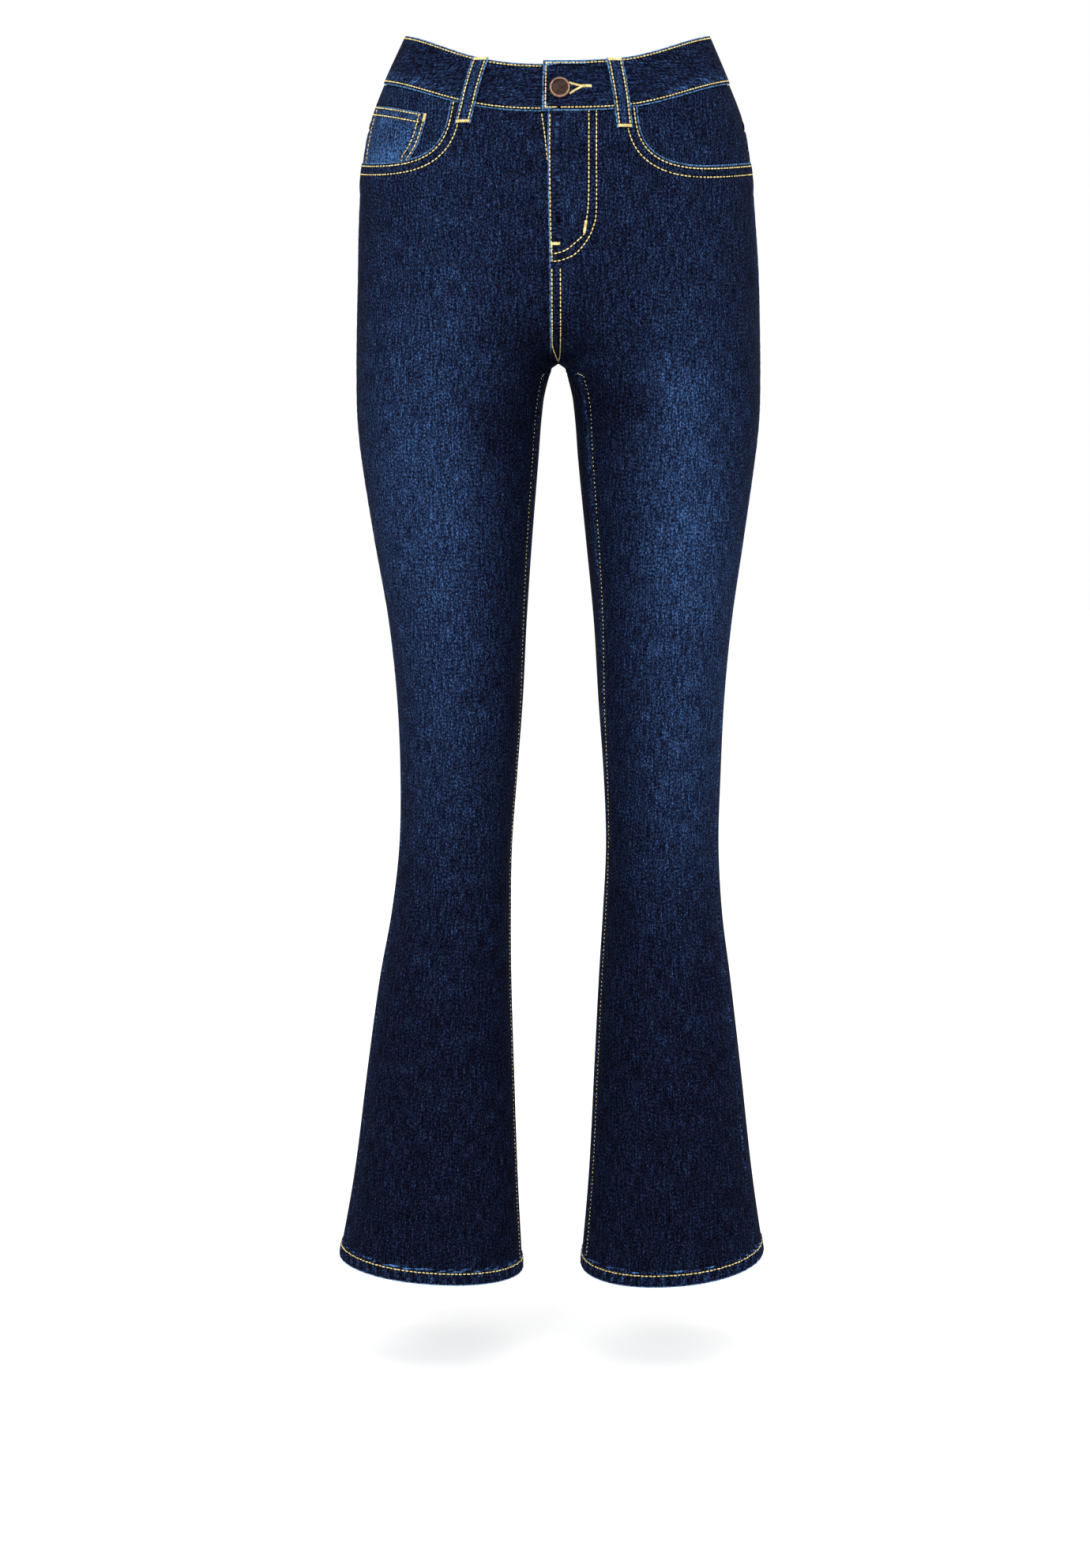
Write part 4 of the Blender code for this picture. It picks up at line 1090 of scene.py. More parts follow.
def denim():
    """Dark indigo twill: specks, streaks along the warp, wash, rubbed edges and drawn seams, with painted
    shade at the crotch, inner thighs and beside rows of stitches.
    """
    s = Shader("denim_outer", 0.95, shine=0.02)
    clumps = s.noise(s.cloth_place(620.0, 520.0), detail=3.0, rough=0.7)
    dashes = s.dots(s.cloth_place(640.0, 420.0))
    specks = s.sum((clumps, 0.80), (dashes, 0.20))
    streaks = s.noise(s.cloth_place(640.0, 70.0), detail=2.0)
    slubs = s.noise(s.cloth_place(170.0, 30.0), detail=1.0)
    mottle = s.noise(s.cloth_place(42.0, 30.0), detail=3.0, rough=0.6)
    row = s.maths("ABSOLUTE", s.measure("row"))
    swing = s.maths("SINE", s.sum((s.measure("along"), 2050.0), (mottle, 14.0)))
    beside = s.maths("MULTIPLY", s.span(row, 0.0009, 0.0018), s.span(row, 0.0034, 0.0046, 1.0, 0.0))
    bars = s.maths("MULTIPLY", s.maths("MULTIPLY", swing, beside), s.span(slubs, 0.35, 0.60, 0.3, 1.0))
    flecks = s.span(s.noise(s.cloth_place(95.0, 560.0), detail=1.0), 0.50, 0.66)
    flecks = s.maths("MULTIPLY", flecks, s.measure("fleck"))
    # The attribute weighted 0.20 below carries wash and wear and the painted shade at the crotch and inner
    # thighs
    terms = (
        (specks, 0.95), (streaks, 0.52), (slubs, 0.07), (mottle, 0.12),
        (s.measure("fade"), 0.20), (bars, 0.085), (flecks, 0.16),
    )
    value = s.maths("SUBTRACT", s.sum(*terms), 0.294)
    body = s.ramp(
        value,
        (0.25, (0.0005, 0.0005, 0.0015)),
        (0.40, (0.0014, 0.0016, 0.0050)),
        (0.525, (0.0034, 0.0042, 0.0135)),
        (0.65, (0.0074, 0.0130, 0.0370)),
        (0.80, (0.0210, 0.0480, 0.1220)),
        (0.97, (0.0620, 0.1650, 0.4000)),
    )
    # Painted shade in the grooves beside rows of stitches: near black within about 1.6 mm of a row
    row_groove_shade = s.span(row, 0.0005, 0.0016, 0.85, 0.0)
    body = s.blend(row_groove_shade, body, (0.0012, 0.0013, 0.0035))
    rim = s.span(s.measure("rim"), 0.0006, 0.0015, 1.0, 0.0)
    rubbed = s.maths("MULTIPLY", rim, s.span(specks, 0.36, 0.56, 0.12, 1.0))
    colour = s.blend(rubbed, body, (0.120, 0.280, 0.540))
    twill = s.wave(s.cloth_place(1.0, 1.0), 250.0)
    height = s.sum((twill, 0.35), (specks, 0.9), (streaks, 0.4))
    return s.finish(colour, height, depth=0.0003, strength=0.5)


def denim_inside():
    """The twill's weft side, paler and greyer."""
    s = Shader("denim_inner", 0.92, shine=0.08)
    clumps = s.noise(s.cloth_place(430.0, 430.0), detail=2.0)
    streaks = s.noise(s.cloth_place(60.0, 500.0), detail=1.0)
    value = s.sum((clumps, 0.6), (streaks, 0.4))
    colour = s.ramp(value, (0.35, (0.045, 0.062, 0.110)), (0.65, (0.135, 0.170, 0.250)))
    return s.finish(colour, value, depth=0.0003, strength=0.5)


def thread():
    s = Shader("thread_gold", 0.65, shine=0.2)
    tint = s.noise(s.solid_place(), scale=260.0, detail=1.0)
    colour = s.ramp(tint, (0.35, (0.66, 0.49, 0.170)), (0.65, (0.93, 0.79, 0.40)))
    return s.finish(colour, s.noise(s.solid_place(), scale=1800.0), depth=0.0001, strength=0.4)


def copper(name, dark, light):
    s = Shader(name, 0.38, metal=0.85)
    spots = s.noise(s.solid_place(), scale=420.0, detail=3.0, rough=0.7)
    colour = s.ramp(spots, (0.35, dark), (0.65, light))
    return s.finish(colour, spots, depth=0.0001, strength=0.3, rough=s.span(spots, 0.3, 0.7, 0.30, 0.55))


DENIM = denim()
DENIM_INSIDE = denim_inside()
THREAD = thread()
COPPER_RIM = copper("copper_rim", (0.20, 0.105, 0.065), (0.42, 0.24, 0.16))
COPPER_FACE = copper("copper_face", (0.022, 0.013, 0.011), (0.060, 0.034, 0.026))
BRASS = copper("zip_metal", (0.16, 0.11, 0.05), (0.42, 0.31, 0.15))


def spread(start, end, count, ends=0.0):
    """Numbers from start to end, closer towards both ends as ends grows to 1."""
    t = np.linspace(0.0, 1.0, count)
    return start + (end - start) * mix(t, 0.5 - 0.5 * np.cos(np.pi * t), ends)


CORNER_DEPTH = MOUTH_CORNER * MOUTH_DEPTH
CORNER = float(mouth_width(CORNER_DEPTH))

# Where a front's columns lie, as shares of its width: over the bearer, the hip, the fly and the lap
FRONT_COLUMNS = (0.0, 5 / 13, 9 / 13, 12 / 13, 1.0)


def onto_leg(side, rows, share, turn, upper, rise):
    """(w, z) of a panel, from its upper rows, its rows down to the crotch and the leg below them.
    turn is -2 for a back, whose inseam lies the other way round."""
    t = np.clip(rows - 2.0, 0.0, 1.0)
    level = leg_level(side, 0.5, t)
    leg_w = mix(side_share(side, level), inseam_share(side, level) + turn, share)
    parts = zip(upper, rise, (leg_w, leg_level(side, leg_w, t)))
    return [np.where(rows <= 1.0, a, np.where(rows <= 2.0, b, c)) for a, b, c in parts]


def front_grid(side, rows, columns):
    """(w, z) over a front. Rows run 0 to 1 beside the mouth, to 2 at the crotch and 3 at the hem.
    Columns run 0 to 1 over the bearer, to 2 up to the fly's flat part, 3 at the middle, 4 at the lap."""
    r, c = np.broadcast_arrays(np.asarray(rows, float)[:, None], np.asarray(columns, float)[None, :])
    even = np.interp(c, (0, 1, 2, 3, 4), FRONT_COLUMNS)
    start = mouth_side(side)
    span = MOUTH_END[side] - start
    inner = np.clip((even - FRONT_COLUMNS[1]) / (1.0 - FRONT_COLUMNS[1]), 0.0, 1.0)

    def hip(right, z):
        lap = (FLY_OVER if side == 1 else FLY_UNDER) * lap_share(z)
        middle = mix(right, share_from_x(FRONT_EDGE, z), c - 1.0)
        edge = share_from_x(np.maximum(FRONT_EDGE * (3.0 - c), 0.0), z)
        over = share_from_x(np.minimum(-lap * (c - 3.0), 0.0), z)
        over = np.where(c > 3.0, np.where(over < 1.0, 2.0 - over, over), over)
        return np.where(c <= 2.0, middle, np.where(c <= 3.0, edge, over))

    def block(share):
        right = start + span * mouth_width(share * CORNER_DEPTH)
        outer = share * mix(CORNER_DEPTH, MOUTH_ROW_AT_FRONT, inner)
        drop = np.where(c <= 1.0, share * mouth_drop(CORNER * c), outer)
        w = np.where(c <= 1.0, mix(start, right, c), hip(right, band_seam(0.9) - outer))
        return w, band_seam(w) - drop

    upper = block(np.clip(r, 0.0, 1.0))
    right = start + span * CORNER
    t = np.clip(r - 1.0, 0.0, 1.0)
    rise_z = mix(block(np.ones_like(c))[1], CROTCH_LEVEL, t)
    rise_w = np.where(c <= 1.0, mix(side_share(side, rise_z), right, c), hip(right, rise_z))
    onset = np.interp(c, (1, 2), (0.45, 0.8))
    pull = ease(0.0, 1.0, (t - onset) / (1.0 - onset)) * np.clip(4.0 - c, 0.0, 1.0)
    rise_w = mix(rise_w, mix(side_share(side, rise_z), 1.0, even), pull)
    return onto_leg(side, r, even, 0.0, upper, (rise_w, rise_z))


def leg_rows(side, count):
    """Row shares of a leg, closer together at the hem."""
    step = 1.0 - (HEM_DEPTH + HEM_STEP_FADE) / (CROTCH_LEVEL - HEM_LEVEL[side])
    return np.concatenate([np.linspace(0.0, step, count)[1:], np.linspace(step, 1.0, 12)[1:]])


def back_grid(side, rows, columns):
    """(w, z) over a back. Rows run 0 to 1 down the yoke, 2 at the crotch and 3 at the hem."""
    r, f = np.broadcast_arrays(np.asarray(rows, float)[:, None], np.asarray(columns, float)[None, :])

    def yoke(share):
        w = mix(side_share(side, band_seam(-0.8) - share * 0.06), -1.0, f)
        return w, band_seam(w) - share * yoke_drop(w)

    rise_z = mix(yoke(1.0)[1], CROTCH_LEVEL, np.clip(r - 1.0, 0.0, 1.0))
    rise = mix(side_share(side, rise_z), -1.0, f), rise_z
    return onto_leg(side, r, f, -2.0, yoke(np.clip(r, 0.0, 1.0)), rise)


def yoke_drop(w):
    return mix(YOKE_SIDE, YOKE_CENTRE, np.maximum(-np.asarray(w, float), 0.0))


def hem_rope(side, w, z):
    """The roping of the hem, drawn along the seam, from -1 to 1."""
    above = z - hem_level(side, w)
    around = w * ROPE_GIRTH
    turns = 2.0 * np.pi * (around / ROPE_PITCH + above * 45.0)
    rope = np.sin(turns + 1.6 * np.sin(around * 47.0))
    return rope * ease(HEM_DEPTH + 0.004, HEM_DEPTH - 0.001, above) * ease(-0.0005, 0.0015, above)


def hem_relief(side, w, z):
    """The hem's turned step and its roping."""
    above = z - hem_level(side, w)
    step = HEM_EXTRA * ease(HEM_DEPTH + HEM_STEP_FADE, HEM_DEPTH - 0.0002, above)
    return step + ROPE_HEIGHT * hem_rope(side, w, z)


def leg_wear(side, w, z):
    """A leg panel's wash and flecks at its hem."""
    above = z - hem_level(side, w)
    wash = 0.90 * np.maximum(hem_rope(side, w, z), 0.0) * ease(0.0, 0.004, above)
    return {"wash": wash, "fleck": 3.2 * bell(above - HEM_DEPTH - HEM_STEP_FADE, 0.0012)}


def front_height(side, w, z):
    return front_proud(side, w, z) + hem_relief(side, w, z)


# The fly, as (z, x) down its two curved rows, the row beside the zip and the row at its foot, and
# its tacks with their lengths
FLY_ROWS = (
    ((-0.0605, 0.0255), (-0.079, 0.0258), (-0.115, 0.0260), (-0.151, 0.0253), (-0.167, 0.0231),
     (-0.176, 0.0216), (-0.184, 0.0136), (-0.190, 0.0055), (-0.193, -0.0045)),
    ((-0.0605, 0.0315), (-0.079, 0.0320), (-0.115, 0.0322), (-0.1575, 0.0317), (-0.171, 0.0289),
     (-0.182, 0.0234), (-0.193, 0.0134), (-0.198, 0.0020), (-0.199, -0.0050)),
)
ZIP_ROW = ((-0.0785, 0.0130), (-0.0850, 0.0120), (-0.0960, 0.0103), (-0.1080, 0.0089), (-0.1170, 0.0080))
FLY_FOOT_ROW = ((-0.1855, -0.0056), (-0.1995, -0.0058))
FLY_TACKS = (
    (((-0.1660, 0.0232), (-0.1760, 0.0214)), 0.0020),
    (((-0.1845, -0.0067), (-0.1846, 0.0013)), 0.0022),
)


def line_by_x(side, pairs, count=300, is_front=True):
    """A smooth line through (z, x) pairs, x measured from the middle."""
    z, x = smooth_path(np.array(pairs, float), count).T
    share = share_from_x(x, z, is_front)
    return line_of(side, share if is_front else -share, z)


def mouth_edge(side):
    """The pocket mouth's edge, from the band down to the side seam."""
    across = np.sin(np.linspace(np.pi / 2.0, 0.0, 320))
    w = mouth_side(side) + (MOUTH_END[side] - mouth_side(side)) * across
    z = band_seam(w) - mouth_drop(across)
    far = lengths(base(side, w, z))
    at = np.linspace(0.0, far[-1], 320)
    return line_of(side, np.interp(at, far, w), np.interp(at, far, z))


def level_line(side, ends, level):
    w = np.linspace(*ends, 400)
    return line_of(side, w, level(w))


def seam_line(side, share, top, foot, count=400):
    z = np.linspace(top, foot, count)
    return line_of(side, share(z), z)


def leg_lines(side, top, turn):
    """A leg panel's side seam, inseam, hem and the hem's row. turn is -2 for a back, else 0."""
    foot = HEM_LEVEL[side] + HEM_SEAM_END
    outer = seam_line(side, lambda z: side_share(side, z), top, foot)
    inner = seam_line(side, lambda z: inseam_share(side, z) + turn, CROTCH_LEVEL - 0.001, foot)
    ends = side_share(side, HEM_SHARES_LEVEL), inseam_share(side, HEM_SHARES_LEVEL) + turn
    hem = level_line(side, ends, lambda w: hem_level(side, w))
    row = level_line(side, ends, lambda w: hem_level(side, w) + HEM_ROW)
    return outer, inner, hem, row


def centre_back_rows(top, foot):
    """The twin rows beside the seat seam, on the wearer's left."""
    return [line_by_x(1, ((top, x), (foot, x)), is_front=False) for x in TWIN_ROWS]


def away(row, distance):
    """offset, with its sign turned so that + leads outwards from the mouth or edge on either side."""
    return offset(row, -distance * row.side)


def fly_rows():
    """The left front's edge at the fly, and its rows: by that edge, round the fly and down the rise."""
    def lap(inset):
        return lambda z: share_from_x(-FLY_OVER * lap_share(z) + inset, z)

    def rise(x, shift, levels):
        return lambda z: share_from_x(x + shift * ease(*levels, z), z)

    top = band_seam(1.0)
    edge = seam_line(1, lap(0.0), top, CROTCH_LEVEL + 0.008)
    rows = [seam_line(1, lap(0.0018), top - 0.002, -0.1925)]
    rows += [line_by_x(1, pairs) for pairs in FLY_ROWS]
    rows.append(seam_line(1, rise(-0.0060, 0.004, (-0.262, -0.276)), RISE_ROWS_END, -0.2745))
    rows.append(seam_line(1, rise(0.0010, 0.0006, (-0.20, -0.27)), RISE_ROWS_END, -0.2765))
    return edge, rows


def build_front(side, tag):
    columns = [spread(0.0, 1.0, 31, 0.3), spread(1.0, 2.0, 23)[1:], spread(2.0, 3.0, 17)[1:]]
    columns = np.concatenate(columns + [spread(3.0, 4.0, 9, 0.3)[1:]])
    down = np.concatenate([spread(0.0, 1.0, 26), spread(1.0, 2.0, 56)[1:], 2.0 + leg_rows(side, 252)])
    w, z = front_grid(side, down, columns)
    keep = ~((down[1:, None] <= 1.0 + 1e-9) & (columns[None, 1:] <= 1.0 + 1e-9))
    mouth = mouth_edge(side)
    outer_seam, inner_seam, hem, hem_row = leg_lines(side, mouth.path[-1, 1], 0.0)
    inner_row = seam_line(
        side, inseam_row_share(side), CROTCH_LEVEL - 0.0095, HEM_LEVEL[side] + 0.004, 900
    )
    rows = [away(mouth, distance) for distance in MOUTH_ROWS] + [inner_row, hem_row]
    rims = [mouth, hem]
    if side == 1:
        edge, more = fly_rows()
        rows += more
        rims.append(edge)
    else:
        rows.append(line_by_x(side, ZIP_ROW))
    cloth = Cloth(front_height, rows, rims, [outer_seam, inner_seam])
    allowances = (
        ("top", lambda w, z: front_height(side, w, z) + CLOTH, everywhere),
        ("first", flat_depth, everywhere),
        ("last", flat_depth, lambda w, z: z < CROTCH_LEVEL - 0.006),
    )
    wear = leg_wear(side, w, z)
    make_cloth(f"front_{tag}", cloth, side, w, z, keep, allowances=allowances, **wear)
    group = f"thread_front_{tag}"
    sew(group, cloth.put, [row for row in rows if row is not inner_row])
    sew(group, cloth.put, [inner_row], share=0.48, radius=0.00046, high=0.00014)
    if side == 1:
        for pairs, long in FLY_TACKS:
            tack(group, cloth.put, line_by_x(1, pairs, 80), long, pitch=0.0006, radius=0.00042)
        sew(group, cloth.put, [line_by_x(1, FLY_FOOT_ROW, 60)], pitch=0.0027)


def inseam_row_share(side):
    """Girth share of the row of stitches beside the inseam."""
    def share(z):
        below = CROTCH_LEVEL - z
        away_by = mix(*INSEAM_ROW, ease(0.05, 0.25, below))
        return inseam_share(side, z) - away_by / 0.16 * mix(1.0, 1.25, ease(0.1, 0.45, below))
    return share


def build_bearer(side, tag):
    """The bearer in a pocket mouth and, on the wearer's right, the coin pocket over it."""
    rows, columns = spread(0.0, 1.1, 40), spread(0.0, 1.25, 44)
    w, z = front_grid(side, rows, columns)
    under = 0.0
    if side == -1:
        below_top = ease(COIN_TOP - 0.03, COIN_TOP - 0.005, rows)[:, None]
        under = below_top * ease(COIN_REACH + 0.04, COIN_REACH + 0.008, columns)[None, :]

    def proud(side, w, z):
        return mouth_lift(side, w, z) - CLOTH - LAYER_GAP

    cloth = Cloth(lambda *spot: proud(*spot) - (COIN_CLOTH + LAYER_GAP) * under)
    allowances = (("top", lambda w, z: 0.0012, everywhere), ("first", flat_depth, everywhere))
    wash = 0.22 if side < 0 else 0.05
    make_cloth(f"hip_facing_{tag}", cloth, side, w, z, thick=0.0010, wash=wash, allowances=allowances)
    if side == -1:
        build_coin_pocket(side, proud)


def build_coin_pocket(side, proud):
    w, z = front_grid(side, spread(COIN_TOP, 1.1, 40), spread(0.0, COIN_REACH, 44))
    top = smooth_line(side, w[0], z[0])
    right = smooth_line(side, w[:, -1], z[:, -1])
    outer = smooth_line(side, w[:, 0], z[:, 0])
    rows = [Line(side, offset(top, -inset).path[:285]) for inset in (0.0020, 0.0082)]
    rows += [Line(side, offset(right, -inset).path[6:]) for inset in (0.0022, 0.0075)]
    rows.append(Line(side, offset(outer, 0.0180).path[24:]))
    coin = Cloth(proud, rows, [top, right])
    make_cloth("coin_pocket", coin, side, w, z, thick=0.0009, wash=0.85)
    sew("thread_coin", coin.put, rows)
    tack("thread_coin", coin.put, offset(Line(side, right.path[2:46]), -0.0015), 0.0024)


def build_back(side, tag):
    """The yoke and the back under it, with the pocket on it."""
    columns = spread(0.0, 1.0, 84, 0.25)
    clip = 0.00015
    group = f"thread_back_{tag}"
    w, z = back_grid(side, spread(0.0, 1.0, 26), columns)
    centre_top, centre_foot = float(z[0, -1]), float(z[-1, -1])
    seam = smooth_line(side, w[-1], z[-1], 400)
    centre = seam_line(side, lambda z: np.full_like(z, -1.0), centre_top, centre_foot)
    rows = [away(seam, -inset) for inset in TWIN_ROWS]
    allowances = [("top", lambda w, z: CLOTH, everywhere)]
    if side == 1:
        rows += centre_back_rows(centre_top, centre_foot)
        allowances.append(("last", flat_depth, everywhere))
    yoke = Cloth(lambda side, w, z: 0.0 * z, rows, (), [seam, centre])
    make_cloth(f"yoke_{tag}", yoke, side, w, z, clip=clip, allowances=allowances)
    sew(group, yoke.put, rows)

    w, z = back_grid(side, np.concatenate([spread(1.0, 2.0, 70), 2.0 + leg_rows(side, 252)]), columns)
    outer_seam, inner_seam, hem, hem_row = leg_lines(side, float(z[0, 0]), -2.0)
    rows = [hem_row]
    allowances = [("top", flat_depth, everywhere)]
    if side == 1:
        rows += centre_back_rows(float(z[0, -1]) - 0.001, -0.262)
        allowances.append(("last", flat_depth, lambda w, z: z > CROTCH_LEVEL + 0.012))
    cloth = Cloth(hem_relief, rows, [hem], [outer_seam, inner_seam, seam])
    wear = leg_wear(side, w, z)
    make_cloth(f"back_{tag}", cloth, side, w, z, clip=clip, allowances=allowances, **wear)
    sew(group, cloth.put, rows)
    build_patch(side, tag)


def patch_grid(down, across):
    """(w, z) over a back pocket, down 0 to 1 and across 0 to 1 from its outer edge."""
    down, across = np.broadcast_arrays(np.asarray(down, float)[:, None], np.asarray(across, float)[None, :])
    top = band_seam(POCKET_AT_SHARE) - yoke_drop(POCKET_AT_SHARE) - POCKET_BELOW_YOKE
    level = top - down * POCKET_HEIGHT
    edge = -mix(*POCKET_OUTER_SHARE, down)
    heart = -share_from_x(mix(*POCKET_INNER_X, down), level, False)
    w = mix(edge, heart, across)
    point = POCKET_POINT * (1.0 - np.abs(across - 0.5) * 2.0)
    drop = yoke_drop(w) + POCKET_BELOW_YOKE + down * (POCKET_HEIGHT + point)
    return w, band_seam(w) - drop


def patch_line(side, *points):
    """A line over a back pocket through (down, across) points."""
    parts = []
    for first, last in zip(points[:-1], points[1:]):
        for t in np.linspace(0.0, 1.0, 90)[: None if last is points[-1] else -1]:
            w, z = patch_grid([mix(first[0], last[0], t)], [mix(first[1], last[1], t)])
            parts.append((w[0, 0], z[0, 0]))
    return Line(side, np.array(parts))


def build_patch(side, tag):
    """A back pocket, sewn on round its edge and hemmed at its top."""
    rows = []
    for inset in (0.018, 0.062):
        far = 1.0 - inset
        corners = (0.012, inset), (far, inset), (1.0 - inset * 1.2, 0.5), (far, far), (0.012, far)
        rows.append(patch_line(side, *corners))
    rows += [patch_line(side, (down, 0.01), (down, 0.99)) for down in (0.030, 0.095)]
    edges = [
        patch_line(side, (0.0, 0.0), (1.0, 0.0), (1.0, 0.5), (1.0, 1.0), (0.0, 1.0)),
        patch_line(side, (0.0, 0.0), (0.0, 1.0)),
    ]
    cloth = Cloth(lambda side, w, z: CLOTH + LAYER_GAP + 0.0 * z, rows, edges)
    w, z = patch_grid(spread(0.0, 1.0, 46), spread(0.0, 1.0, 45))
    make_cloth(f"back_pocket_{tag}", cloth, side, w, z, thick=0.0011)
    sew(f"thread_back_{tag}", cloth.put, rows)
    for across in (0.03, 0.97):
        bar = patch_line(side, (0.008, across), (0.075, across))
        tack(f"thread_back_{tag}", cloth.put, bar, 0.0024)


# Girth shares of the waistband's under end, its top end and the row of stitches beside that one
UNDER_END = float(share_from_x(-BAND_UNDER, band_seam(1.0)))
TOP_END = float(share_from_x(-BAND_OVER, band_seam(1.0)))
END_ROW = float(share_from_x(-BAND_OVER + 0.003, band_seam(1.0)))


def band_height(side, w, z):
    """How far the band stands off, with its left end lapped over its right one."""
    x = surface(w, z)[..., 0]
    lift = BAND_LIFT * (1.0 - ease(BAND_UNDER + 0.003, 0.070, x))
    return BAND_PROUD + np.where((np.asarray(side) > 0) & (np.asarray(w) > 0.0), lift, 0.0)


def band_places(shares):
    """(side, w, z) of the waistband, from its under end to its top end."""
    right = spread(UNDER_END, -1.0, 190)
    left = spread(-1.0, TOP_END, 186)[1:]
    side = np.concatenate([-np.ones(len(right)), np.ones(len(left))])
    w = np.concatenate([right, left])
    side, w, share = np.broadcast_arrays(side[None, :], w[None, :], np.asarray(shares)[:, None])
    top = np.where(side > 0, waist_top(1, w), waist_top(-1, w))
    return side, w, mix(top, band_foot(w), share)


def band_line(side, w, share):
    return line_of(side, w, mix(waist_top(side, w), band_foot(w), share))


def band_lines(left_end, shares):
    """Lines round the waistband at shares of its height, and one down it beside its top end."""
    lines = []
    for share in shares:
        lines.append(band_line(1, np.linspace(-1.0, left_end, 700), share))
        lines.append(band_line(-1, np.linspace(-1.0, UNDER_END, 700), share))
    lines.append(band_line(1, np.full(200, left_end), np.linspace(0.03, 0.95, 200)))
    return lines


def build_band():
    shares = np.concatenate([spread(0.0, 0.1, 7)[:-1], spread(0.1, 0.9, 16)[:-1], spread(0.9, 1.0, 7)])
    side, w, z = band_places(shares)
    rows = band_lines(END_ROW, (0.055, 0.930))
    cloth = Cloth(band_height, rows, band_lines(TOP_END, (0.0, 1.0)))
    rubbed = ease(0.74, 0.60, w) * bell(z - band_foot(w) - 0.0065, 0.0042)
    wear = {"wash": 0.05 + 0.30 * rubbed, "fleck": 1.6 * rubbed}
    make_cloth("waistband", cloth, side, w, z, thick=0.0022, turned=True, **wear)
    stitch_buttonhole(cloth.put)
    sew("thread_waistband", cloth.put, rows, pitch=0.0030)


def stitch_buttonhole(put):
    """Two lips of thread from the button to the end of its hole, and a tail."""
    for points, long in (
        (((0.0094, -0.0548), (0.0145, -0.0562), (0.0201, -0.0575)), 0.0016),
        (((0.0100, -0.0636), (0.0150, -0.0606), (0.0201, -0.0579)), 0.0016),
        (((0.0196, -0.0577), (0.0238, -0.0573), (0.0281, -0.0575)), 0.0022),
    ):
        x, z = np.array(points).T
        lip = smooth_line(1, share_from_x(x, z), z, 80)
        tack("thread_waistband", put, lip, long, pitch=0.00075, radius=0.00042)


# Down a loop: drop under the waist's edge, height over what it lies on, and whether that is the band
LOOP_LENGTH = BAND_HEIGHT + LOOP_BELOW
SPRUNG = LAYER_GAP + LOOP_SPRING
LOOP_PROFILE = (
    (0.0008, LAYER_GAP, True), (0.0050, LAYER_GAP + 0.4 * LOOP_SPRING, True), (0.0120, SPRUNG, True),
    (0.0220, SPRUNG, True), (0.0320, 0.8 * SPRUNG, True), (BAND_HEIGHT - 0.0010, LAYER_GAP, True),
    (BAND_HEIGHT + 0.0012, LAYER_GAP, True), (BAND_HEIGHT + 0.0048, LOOP_CLEAR, False),
    (LOOP_LENGTH, LOOP_CLEAR, False),
)


def loop_spot(loop, drop):
    """(w, z) of a loop's middle, this far under the waist's edge."""
    w = mix(loop.top, loop.foot, drop / LOOP_LENGTH)
    foot = band_foot(w)
    if drop < BAND_HEIGHT:
        return w, float(mix(waist_top(loop.side, w), foot, drop / BAND_HEIGHT))
    return w, float(foot - drop + BAND_HEIGHT)


def build_loop(loop):
    """A belt loop, sprung off the band between its two tacks."""
    side = loop.side
    profile_drops = [row[0] for row in LOOP_PROFILE]
    drops = np.unique(np.concatenate([spread(profile_drops[0], LOOP_LENGTH, 60), profile_drops]))
    heights = []
    for drop, height, on_band in LOOP_PROFILE:
        spot = loop_spot(loop, drop)
        under = band_height(side, *spot) if on_band else front_proud(side, *spot) if spot[0] > 0.0 else 0.0
        heights.append(float(under) + height)
    proud = np.interp(drops, profile_drops, heights) + LOOP_CLOTH
    aside = np.linspace(-1.0, 1.0, 13)
    across = aside * LOOP_SHOWN / 2.0
    w, z = [], []
    for drop in drops:
        middle, level = loop_spot(loop, drop)
        if abs(middle) == 1.0:
            share = -share_from_x(np.abs(across), level, False)
            shares = np.where(aside >= 0.0, share, -2.0 - share)
        else:
            gap = base(side, middle * 0.98, level) - base(side, middle, level)
            shares = middle + across * 0.02 * abs(middle) / np.linalg.norm(gap)
        w.append(shares)
        z.append(np.full(len(aside), level))
    w, z = np.array(w), np.array(z)
    levels = z[:, 0]

    def put(side, w, z, extra):
        return place(side, w, z, np.interp(z, levels[::-1], proud[::-1]) + extra)

    lanes, edges = [[smooth_line(side, w[:, k], z[:, k]) for k in pair] for pair in ((2, 10), (0, 12))]
    points, out = place(side, w, z, proud[:, None] - LOOP_EDGE_DROP * np.abs(aside) ** 6)
    here = base(side, w, z)
    across = np.broadcast_to(across, w.shape)
    row, along = Near(lanes, signed=True).measure(here)
    rim, _ = Near(edges).measure(here)
    rubbed = 0.60 + LOOP_RIDGE[0] * bell(across, LOOP_RIDGE[1])
    measures = {"row": row, "along": along, "rim": rim, "fade": rubbed}
    keep = np.ones((w.shape[0] - 1, w.shape[1] - 1), bool)
    thing = grid_mesh(f"cloth_{loop.name}", points, out, keep, across, z, measures)
    declare(thing, loop.name, 0.0016)
    sew("thread_loops", put, lanes, pitch=0.0032)
    for drop in (0.0022, LOOP_LENGTH - 0.0022):
        k = int(np.argmin(np.abs(drops - drop)))
        tack("thread_loops", put, smooth_line(side, w[k, 1:-1], z[k, 1:-1], 60), 0.0022)


def strip_behind_fly(node, levels, across, proud, **how):
    """A strip of cloth behind the lap, over levels and x."""
    z, x = np.broadcast_arrays(levels[:, None], across[None, :])
    cloth = Cloth(lambda side, w, z: proud + 0.0 * z)
    make_cloth(node, cloth, 1, share_from_x(x, z), z, **how)


